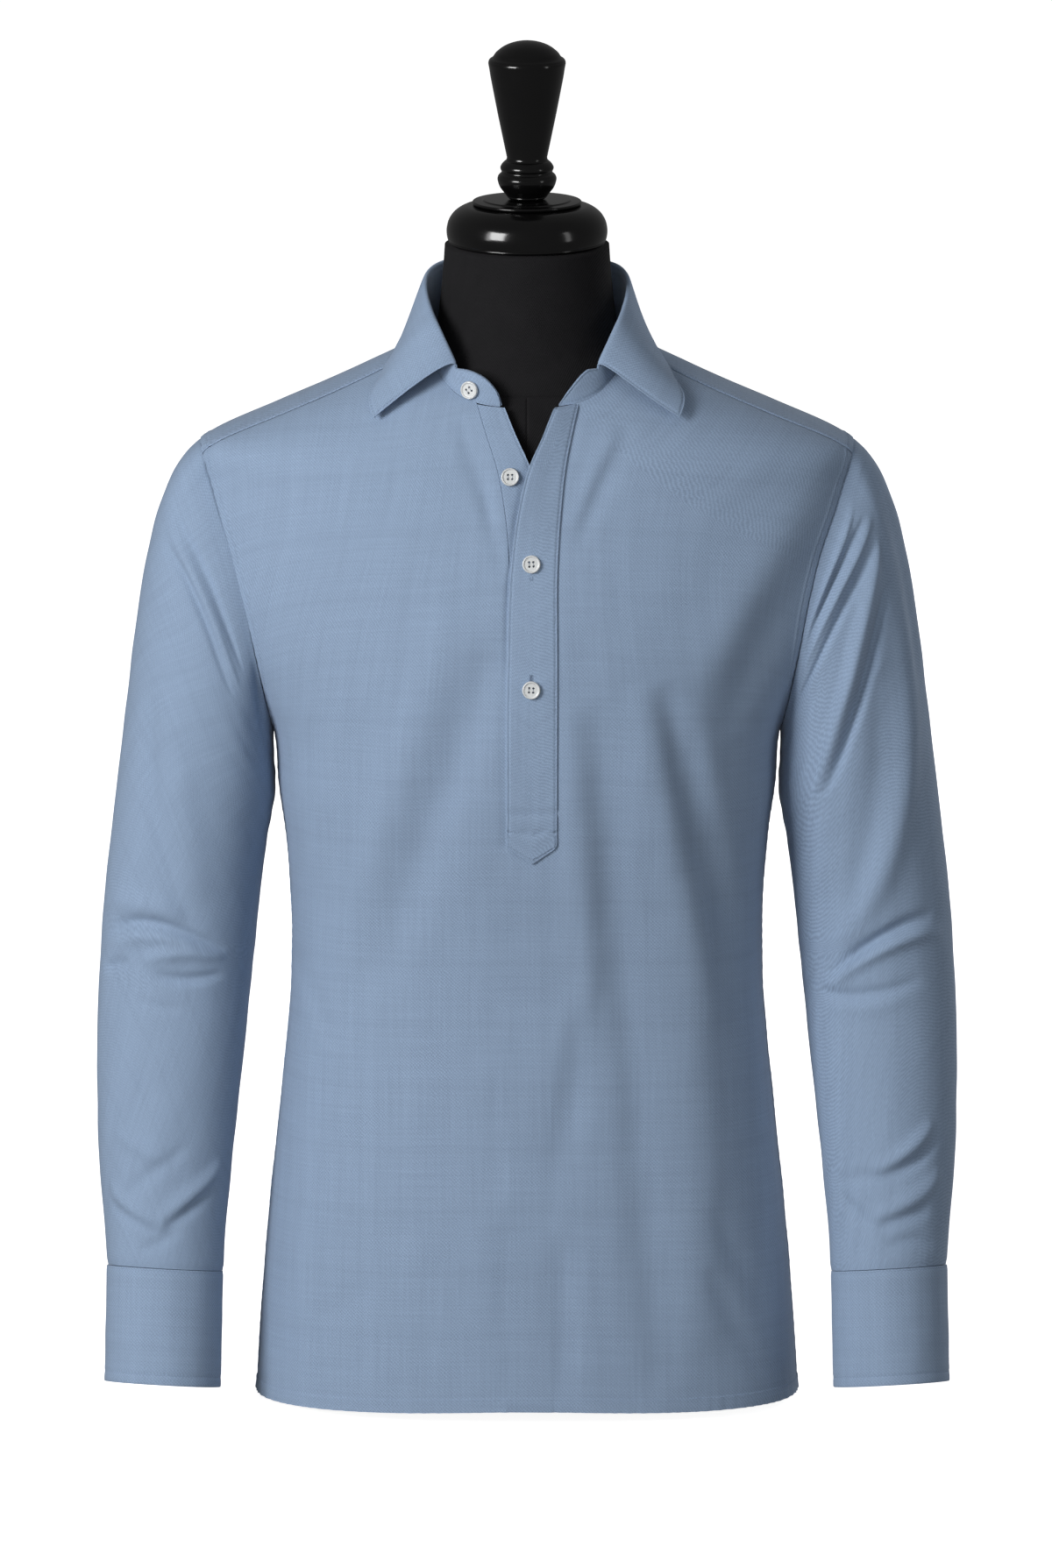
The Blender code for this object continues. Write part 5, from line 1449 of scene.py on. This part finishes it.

# %% [markdown]
# ## Buttons and buttonholes
# The buttons are white resin: a turned blank with a raised rim and a dished
# middle, drilled with four holes and sewn on with two strands; the holes are
# darkened with painted shade. A buttonhole is cut after its edges are covered
# with close stitches, so it reads as two rough lips with a dark line between
# them, here a thin strip in painted shade.

# %% Turned shapes
WHITE, PEARL = (0.58, 0.60, 0.61), (0.66, 0.67, 0.66)
# The first colour is painted shade, for the bottoms of the buttons' holes and for the buttonhole
# slits; the second is lighter fibres within the slits' painted shade.
SHADE_BLUE, SLATE = (0.045, 0.065, 0.10), (0.10, 0.13, 0.18)
CLOUD_SCALE, FIBRE_SCALE, HOLE_SHADE = 250.0, 1000.0, 1.6
FILLET_POINTS = 7


def turned(name, radius, height, turns, sink=0.0):
    """A closed body of revolution: rings from the lower pole to the upper one.

    The first and last radius are the poles. sink lowers the rings' corners, an
    array of (rings, turns), so that a face can have holes; the UV map's first
    number keeps how deep each corner has sunk, from 0 to 1.
    """
    angle = np.linspace(0, 2 * np.pi, turns, endpoint=False)
    wide = radius[1:-1, None]
    sink = np.broadcast_to(sink, (len(wide), turns))
    high = height[1:-1, None] - sink
    rings = np.stack([wide * np.cos(angle), wide * np.sin(angle), high], axis=-1)
    points = np.concatenate([[[0, 0, height[0]]], rings.reshape(-1, 3), [[0, 0, height[-1]]]])
    index = 1 + np.arange(rings.shape[0] * turns).reshape(-1, turns)
    faces = (1 + quads(len(rings), turns, closed=True)).reshape(-1, 4).tolist()
    ahead = np.roll(index, -1, axis=1)
    low = np.stack([0 * index[0], ahead[0], index[0]], -1).tolist()
    high = np.stack([0 * index[-1] + len(points) - 1, index[-1], ahead[-1]], -1).tolist()
    mesh = bpy.data.meshes.new(name)
    mesh.from_pydata(points.tolist(), [], faces + low + high)
    mesh.shade_smooth()
    depth = np.concatenate([[0], sink.ravel(), [0]]) / max(sink.max(), 1e-9)
    corner = np.empty(len(mesh.loops), np.int32)
    mesh.loops.foreach_get("vertex_index", corner)
    uv = np.stack([depth[corner], 0 * depth[corner]], axis=-1)
    mesh.uv_layers.new(name="depth").data.foreach_set("uv", uv.ravel().astype(np.float32))
    obj = bpy.data.objects.new(name, mesh)
    scene.collection.objects.link(obj)
    return obj


def filleted(profile, limit):
    """Each inner corner of a profile becomes (1-t)^2 start + 2 t (1-t) corner + t^2 end.

    Start and end lie on the two sides, at most limit and half a side away.
    """
    profile = np.array(profile, float)
    steps = np.diff(profile, axis=0)
    length = np.linalg.norm(steps, axis=1)[:, None]
    reach = np.minimum(np.minimum(length[:-1], length[1:]) * 0.5, limit)
    start = profile[1:-1] - reach * (steps / length)[:-1]
    end = profile[1:-1] + reach * (steps / length)[1:]
    t = np.linspace(0, 1, FILLET_POINTS)[None, :, None]
    curve = (1 - t) ** 2 * start[:, None] + 2 * t * (1 - t) * profile[1:-1, None]
    curve = (curve + t**2 * end[:, None]).reshape(-1, 2)
    return np.concatenate([profile[:1], curve, profile[-1:]])


def resin():
    """White resin, a little cloudy, with painted shade in the drilled holes: darker the deeper each
    corner has sunk.
    """
    finish = Finish("white_resin", {"Roughness": 0.30, "Coat Weight": 0.2})
    x, y, z = finish.coordinates(uv=False)
    depth, _, _ = finish.coordinates(uv=True)
    body = finish.mixed(finish.noise(x, y, z, scale=CLOUD_SCALE), tone(WHITE), tone(PEARL))
    # Painted shade: the deeper a corner sits in a hole, the darker it is.
    finish.colour(finish.mixed((depth * HOLE_SHADE).limited(), body, tone(SHADE_BLUE)))
    return finish.material


def slit_shade_and_cut_edge():
    """The buttonhole's slit: painted shade in dark blue, with lighter slate specks for the raw
    edge's fibres.
    """
    finish = Finish("slit_shade_and_cut_edge", {"Roughness": 0.9})
    fibres = finish.noise(*finish.coordinates(uv=False), scale=FIBRE_SCALE)
    finish.colour(finish.mixed(fibres, tone(SHADE_BLUE), tone(SLATE)))
    return finish.material


RESIN = resin()
SLIT_SHADE_AND_CUT_EDGE = slit_shade_and_cut_edge()
WHITE_THREAD = sewing_thread("white_thread", (0.30, 0.34, 0.40))
HOLE_THREAD = sewing_thread("buttonhole_thread", (0.150, 0.210, 0.310))
print("turned shapes ready")

# %% Buttons
BUTTON_RADIUS, CUFF_BUTTON_RADIUS, BUTTON_GAP = 0.0064, 0.0056, 0.0002
DISH_RADIUS, DISH_HEIGHT = 0.0047, 0.0018
BUTTON_PROFILE = [
    (0.0, 0.0), (0.0058, 0.0), (0.0064, 0.0009), (0.0062, 0.0021), (0.0058, 0.0026),
    (0.0053, 0.0026), (DISH_RADIUS, DISH_HEIGHT), (0.0, DISH_HEIGHT),
]
HOLE_AT, HOLE_RADIUS, HOLE_DEPTH, HOLE_RIM = 0.00145, 0.00072, 0.0013, 0.00006
BUTTON_TURNS, DISH_RINGS, BUTTON_FILLET = 112, 44, 0.0005
STRAND_LENGTH, STRAND_THICK = 2.1, 1.1


def button_face():
    """(radius, height, sink) of a button's rings; it sinks inside four circles round the middle."""
    outline = filleted(BUTTON_PROFILE, BUTTON_FILLET)
    inner = np.linspace(outline[-2, 0], 0, DISH_RINGS)[1:]
    radius = np.concatenate([outline[:-1, 0], inner])
    height = np.concatenate([outline[:-1, 1], 0 * inner + DISH_HEIGHT])
    angle = np.linspace(0, 2 * np.pi, BUTTON_TURNS, endpoint=False)
    ring = radius[1:-1, None]
    off = np.hypot(np.abs(ring * np.cos(angle)) - HOLE_AT, np.abs(ring * np.sin(angle)) - HOLE_AT)
    inside = 1 - eased((off - HOLE_RADIUS + HOLE_RIM) / (2 * HOLE_RIM))
    on_dish = (np.arange(len(ring)) >= len(outline) - 2)[:, None]
    return radius, height, HOLE_DEPTH * inside * on_dish


def frame_at(surface, across, along, lift):
    """Place, right, up and normal of a surface at one point."""
    step = 1e-3
    steps = np.array([[0, 0], [step, 0], [0, step]])
    here, right, ahead = surface(across + steps[:, 0], along + steps[:, 1])
    normal = unit(np.cross(right - here, ahead - here))
    up = unit(np.array([0, 0, 1.0]) - normal[2] * normal)
    return here + lift * normal, np.cross(up, normal), up, normal


def make_button(name, size, place, right, up, normal, spin=0.0):
    """A turned button with real holes, and the two strands that hold it."""
    cos, sin = math.cos(spin), math.sin(spin)
    right, up = cos * right + sin * up, cos * up - sin * right
    radius, height, sink = button_face()
    obj = turned(name + "_turned", radius * size, height, BUTTON_TURNS, sink)
    points = np.empty(len(obj.data.vertices) * 3)
    obj.data.vertices.foreach_get("co", points)
    points = place + points.reshape(-1, 3) @ np.stack([right, up, normal])
    obj.data.vertices.foreach_set("co", points.ravel())
    attach(obj, name, RESIN)
    centre = place + normal * DISH_HEIGHT + np.array([[-1], [1]]) * HOLE_AT * size * right
    ahead, out = np.repeat([[up], [normal]], 2, axis=1)
    thread = (STRAND_LENGTH * HOLE_AT * size, name, WHITE_THREAD, "button", STRAND_THICK)
    thread_bars(name + "_strands", centre, ahead, out, *thread)


def on_body(x, height):
    """A point of the front by its x and height."""
    return torso(angle_at(x, height), height)


on_strip = STRIP_LIFT + BUTTON_GAP
BUTTON_PLACES = [
    ("button_1", band, math.radians(-28.5), 0.36, BUTTON_GAP, 0.7),
    ("button_2", on_body, -0.0116, 0.6705, BUTTON_GAP, 0.0),
    ("button_3", on_body, 0.0030, 0.6120, on_strip, 0.05),
    ("button_4", on_body, 0.0030, 0.5260, on_strip, -0.05),
]
for name, surface, across, along, lift, spin in BUTTON_PLACES:
    make_button(name, 1.0, *frame_at(surface, across, along, lift), spin=spin)
cuff_place = (CUFF_OPENING + 2 * np.pi + CUFF_LAP / 2, CUFF_HEIGHT / 2)
place, right, up, normal = frame_at(cuff, *cuff_place, BUTTON_GAP)
for side, mirror in (("left", np.array([1, 1, 1])), ("right", np.array([-1, 1, 1]))):
    way = (place * mirror, np.cross(up * mirror, normal * mirror), up * mirror, normal * mirror)
    make_button("cuff_button_" + side, CUFF_BUTTON_RADIUS / BUTTON_RADIUS, *way)

# %% Buttonholes
LIP_PITCH, LIP_LENGTH, LIP_APART = 0.00048, 0.0011, 0.0009
TACK_LENGTH, SLIT_HALF_WIDTH, SLIT_LIFT = 0.0028, 0.00022, 0.0001
BUTTONHOLE_LENGTH = 0.0148
BUTTONHOLES = table(
    "x height lean",
    (0.0100, 0.6715, -0.17),
    (0.0030, 0.6085, 0.0),
    (0.0030, 0.5292, 0.0),
)


def make_buttonholes():
    """Close stitches across both lips, a tack at each end, and a strip of painted shade between."""
    along = np.arange(0, BUTTONHOLE_LENGTH, LIP_PITCH) - BUTTONHOLE_LENGTH / 2
    middle, lean, height = (BUTTONHOLES[name][:, None] for name in ("x", "lean", "height"))
    x, z = middle - lean * along, height + along
    line = raised(on_body, x, z, np.full(x.shape, STRIP_LIFT))
    side = unit(np.gradient(line, axis=1))
    out = unit(np.cross([1, 0, 0], side))
    side = np.cross(side, out)
    lips = [line + sign * LIP_APART * side for sign in (-1, 1)]
    centre = np.concatenate(lips).reshape(-1, 3)
    across, up = (np.tile(vectors.reshape(-1, 3), (2, 1)) for vectors in (side, out))
    thread_bars("buttonhole_lips", centre, across, up, LIP_LENGTH, "placket_over", HOLE_THREAD)
    ends = (slice(None), [0, 1, -2, -1])
    tacks = [vectors[ends].reshape(-1, 3) for vectors in (line, side, out)]
    thread_bars("buttonhole_tacks", *tacks, TACK_LENGTH, "placket_over", HOLE_THREAD)
    # The slit is a thin dark sheet of painted shade, laid in the gap between the lips.
    slit = np.stack([line - SLIT_HALF_WIDTH * side, line + SLIT_HALF_WIDTH * side], axis=2)
    slit = slit + SLIT_LIFT * out[:, :, None]
    faces = quads(slit.shape[1], 2).reshape(-1, 4)
    faces = faces + (2 * slit.shape[1] * np.arange(len(slit)))[:, None, None]
    obj = mesh_object("buttonhole_slits", slit, faces)
    threads["placket_over"].append(attach(obj, None, SLIT_SHADE_AND_CUT_EDGE))


make_buttonholes()

# %% [markdown]
# ## Dress form
# The form is padded and covered in black cloth, cut in panels: one seam runs
# round the base of the neck and one down the middle of the chest. The neck is
# closed by a turned and lacquered wooden cap, with a disc and a finial on it.
# The gloss parts are turned from the same outlines as the solids, with each
# corner replaced by a short curve, because a lathe leaves no sharp edge.

# %% Form
FORM = table(
    "height half_width front back squareness",
    (0.000, 0.1300, 0.0440, 0.0480, 2.2),
    (0.004, 0.1500, 0.0660, 0.0700, 2.2),
    (0.009, 0.1640, 0.0810, 0.0850, 2.2),
    (0.018, 0.1730, 0.0910, 0.0960, 2.2),
    (0.040, 0.1770, 0.0950, 0.1010, 2.2),
    (0.140, 0.1700, 0.0950, 0.1000, 2.2),
    (0.220, 0.1615, 0.0940, 0.0950, 2.2),
    (0.300, 0.1540, 0.0950, 0.0900, 2.2),
    (0.360, 0.1545, 0.1000, 0.0900, 2.2),
    (0.440, 0.1630, 0.1100, 0.1010, 2.2),
    (0.500, 0.1700, 0.1140, 0.1080, 2.2),
    (0.560, 0.1820, 0.1120, 0.1120, 2.15),
    (0.620, 0.1980, 0.1010, 0.1080, 2.05),
    (0.660, 0.2100, 0.0920, 0.1010, 2.0),
    (0.674, 0.2120, 0.0880, 0.0970, 2.0),
    (0.686, 0.2010, 0.0830, 0.0930, 2.0),
    (0.705, 0.1700, 0.0765, 0.0880, 2.0),
    (0.717, 0.1395, 0.0705, 0.0845, 2.0),
    (0.731, 0.1000, 0.0653, 0.0790, 2.0),
    (0.745, 0.0725, 0.0625, 0.0730, 2.0),
    (0.757, 0.0640, 0.0608, 0.0680, 2.0),
    (0.775, 0.0606, 0.0592, 0.0622, 2.0),
    (0.795, 0.0585, 0.0580, 0.0590, 2.0),
    (0.8172, 0.0570, 0.0570, 0.0570, 2.0),
)
TWILL_PITCH, TWILL_ACROSS, TWILL_ALONG = 0.00125, 0.86, -0.51
NECK_SEAM, FORM_SEAM_DEPTH, FORM_SEAM_WIDTH, FORM_SEAM_END = 0.7215, 0.0007, 0.0007, 0.001
HALF_EDGE = np.array([0.0003, 0.0006, 0.0010, 0.0016, 0.0030])
FORM_EDGE = np.concatenate([-HALF_EDGE[::-1], [0], HALF_EDGE])
EDGE_DEGREES, FORM_UV_RADIUS = 800, 0.075
FORM_TURNS, FORM_LOW_ROWS, FORM_HIGH_ROWS = 180, 150, 34
FORM_BLACK, FORM_GREY = (0.0025, 0.0025, 0.0030), (0.0165, 0.0160, 0.0175)
UNEVEN_SCALE, UNEVEN_TURN, FUZZ_SCALE = 60.0, 3.0, 900.0
RIDGE_TONE, FUZZ_TONE, UNEVEN_TONE, TONE_DROP = 0.6, 0.5, 0.3, 0.2
RIDGE_RELIEF, TWILL_DEPTH, TWILL_STRENGTH = 0.7, 0.0002, 0.7


def form_cloth():
    """Black wool twill: fine ridges on the slant, in metres of UV, and a little fuzz."""
    constants = {"Roughness": 0.82, "Sheen Weight": 0.02, "Specular IOR Level": 0.12}
    finish = Finish("form_twill", constants)
    across, along, _ = finish.coordinates(uv=True)
    slant = (across * TWILL_ACROSS + along * TWILL_ALONG) * (2 * math.pi / TWILL_PITCH)
    uneven = finish.noise(across * UNEVEN_SCALE, along * UNEVEN_SCALE, 2.0)
    ridge = (slant + uneven * UNEVEN_TURN).sine() * 0.5 + 0.5
    fuzz = finish.noise(across * FUZZ_SCALE, along * FUZZ_SCALE, 5.0)
    share = ridge * RIDGE_TONE + fuzz * FUZZ_TONE + uneven * UNEVEN_TONE
    share = (share - TONE_DROP).limited()
    finish.colour(finish.mixed(share, tone(FORM_BLACK), tone(FORM_GREY)))
    finish.bump(ridge * RIDGE_RELIEF + fuzz * FUZZ_TONE, TWILL_DEPTH, TWILL_STRENGTH)
    return finish.material


def make_form():
    """The covered body: rows and columns stand close together at its two seams."""
    seam = np.radians(FORM_EDGE * EDGE_DEGREES)
    angle = np.concatenate([seam, np.linspace(seam[-1], 2 * np.pi + seam[0], FORM_TURNS)[1:-1]])
    low = np.linspace(0, NECK_SEAM + FORM_EDGE[0], FORM_LOW_ROWS)[:-1]
    high = np.linspace(NECK_SEAM + FORM_EDGE[-1], FORM["height"][-1], FORM_HIGH_ROWS)[1:]
    height = np.concatenate([low, NECK_SEAM + FORM_EDGE, high])
    turn, up = np.meshgrid(angle, height)
    radius = section_radius(FORM, turn, up)
    from_centre = np.abs(radius * np.arctan2(np.sin(turn), np.cos(turn)))
    below = 1 - eased((up - NECK_SEAM) / FORM_SEAM_END)
    groove = np.exp(-(((up - NECK_SEAM) / FORM_SEAM_WIDTH) ** 2))
    groove = np.maximum(groove, below * np.exp(-((from_centre / FORM_SEAM_WIDTH) ** 2)))
    radius = radius - FORM_SEAM_DEPTH * groove
    points = np.stack([radius * np.sin(turn), -radius * np.cos(turn), up], axis=-1)
    uv = cloth_uv(np.concatenate([points, points[:, :1]], axis=1), 0)
    flat_turn = np.append(angle, angle[0] + 2 * np.pi)
    uv[..., 0] = (flat_turn - (flat_turn > np.pi) * 2 * np.pi) * FORM_UV_RADIUS
    faces = quads(*points.shape[:2], closed=True)
    obj = mesh_object("form_body_cloth", points, faces, corners(uv))
    edit = bmesh.new()
    edit.from_mesh(obj.data)
    bmesh.ops.holes_fill(edit, edges=[edge for edge in edit.edges if edge.is_boundary])
    edit.to_mesh(obj.data)
    edit.free()
    return attach(obj, "form_body", form_cloth())


form_body = make_form()
print("form:", len(form_body.data.polygons), "faces")

# %% Cap, disc and finial
CAP_PROFILE = [
    (0.0, 0.8175), (0.0535, 0.8175), (0.0553, 0.8215), (0.0560, 0.8270), (0.0547, 0.8340),
    (0.0505, 0.8400), (0.0440, 0.8438), (0.0380, 0.8450), (0.0, 0.8450),
]
DISC_PROFILE = [
    (0.0, 0.8453), (0.0374, 0.8453), (0.0380, 0.8468), (0.0374, 0.8477), (0.0310, 0.8479),
    (0.0300, 0.8487), (0.0, 0.8487),
]
FINIAL_PROFILE = [
    (0.0, 0.8490), (0.0128, 0.8490), (0.0150, 0.8525), (0.0192, 0.8575), (0.0207, 0.8632),
    (0.0198, 0.8660), (0.0172, 0.8678), (0.0190, 0.8710), (0.0168, 0.8745), (0.0137, 0.8768),
    (0.0200, 0.9070), (0.0254, 0.9350), (0.0262, 0.9405), (0.0270, 0.9445), (0.0262, 0.9468),
    (0.0236, 0.9483), (0.0220, 0.9512), (0.0165, 0.9558), (0.0090, 0.9588), (0.0, 0.9600),
]
GLOSS_TURNS = 144
BLACK, SOFT_BLACK = (0.0016, 0.0016, 0.0018), (0.0028, 0.0027, 0.0027)
LEAST_ROUGH, ROUGH_CLOUD, DUST_SCALE = 0.12, 0.08, 45.0
WAVE_SCALE, WAVE_DEPTH, WAVE_STRENGTH = 30.0, 0.0006, 0.06


def lacquer():
    """Black lacquer: near black, smooth, with the faintest waviness and dust in its sheen."""
    finish = Finish("black_lacquer", {"Specular IOR Level": 0.5})
    x, y, z = finish.coordinates(uv=False)
    cloud = finish.noise(x, y, z, detail=3.0, scale=DUST_SCALE)
    finish.colour(finish.mixed(cloud, tone(BLACK), tone(SOFT_BLACK)))
    finish.rough(cloud * ROUGH_CLOUD + LEAST_ROUGH)
    waves = finish.noise(x, y, z, detail=1.0, scale=WAVE_SCALE)
    finish.bump(waves, WAVE_DEPTH, WAVE_STRENGTH)
    return finish.material


LACQUER = lacquer()
GLOSS_PIECES = (
    ("neck_cap", CAP_PROFILE, 0.006),
    ("cap_disc", DISC_PROFILE, 0.0005),
    ("finial", FINIAL_PROFILE, 0.006),
)
for name, profile, reach in GLOSS_PIECES:
    outline = filleted(profile, reach)
    obj = turned(name + "_turned", outline[:, 0], outline[:, 1], GLOSS_TURNS)
    attach(obj, name, LACQUER)
    print(name, len(obj.data.polygons), "faces")

# %% [markdown]
# ## Floor, sheets and sizes
# A studio's floor sweeps up behind the object without a corner, so that no line
# crosses the picture. This one is flat for twenty metres all round and then
# rises. It glows a little, so that it stays white, and throws no light back.
# Each cloth piece is printed with the sheet that a maker would cut, and its area: its width
# and length are the longest runs of the piece's own grid, so they follow the
# shape.

# %% Floor
FLOOR_WHITE, FLOOR_GLOW = (0.86, 0.86, 0.86), 0.92
CLOUD_TONE, FLOOR_CLOUD_SCALE = 1.02, 0.4
FLOOR_SIZE, FLOOR_ROWS, FLOOR_FLAT, FLOOR_RISE = 120.0, 25, 20.0, 0.006


def make_floor():
    """Height is FLOOR_RISE times the square of the metres past FLOOR_FLAT from the middle."""
    line = np.linspace(-FLOOR_SIZE / 2, FLOOR_SIZE / 2, FLOOR_ROWS)
    x, y = np.meshgrid(line, line)
    past = np.maximum(np.hypot(x, y) - FLOOR_FLAT, 0)
    points = np.stack([x, y, past * past * FLOOR_RISE], axis=-1)
    obj = mesh_object("floor", points, quads(FLOOR_ROWS, FLOOR_ROWS))
    glow = {"Roughness": 0.9, "Emission Color": tone((1, 1, 1)), "Emission Strength": FLOOR_GLOW}
    finish = Finish("pale_floor", glow)
    x, y, _ = finish.coordinates(uv=False)
    cloud = finish.noise(x, y, 0.0, scale=FLOOR_CLOUD_SCALE)
    finish.colour(finish.mixed(cloud, tone(FLOOR_WHITE), tone(FLOOR_WHITE, CLOUD_TONE)))
    obj.data.materials.append(finish.material)
    obj.visible_diffuse = False
    obj.visible_glossy = False
    return obj


make_floor()
print("floor:", FLOOR_SIZE, "m wide, flat to", FLOOR_FLAT, "m")

# %% Sheets of cloth
for obj, cut, area in sheets:
    print(obj.name, "cut", [round(side, 3) for side in cut], "area", round(area, 4))
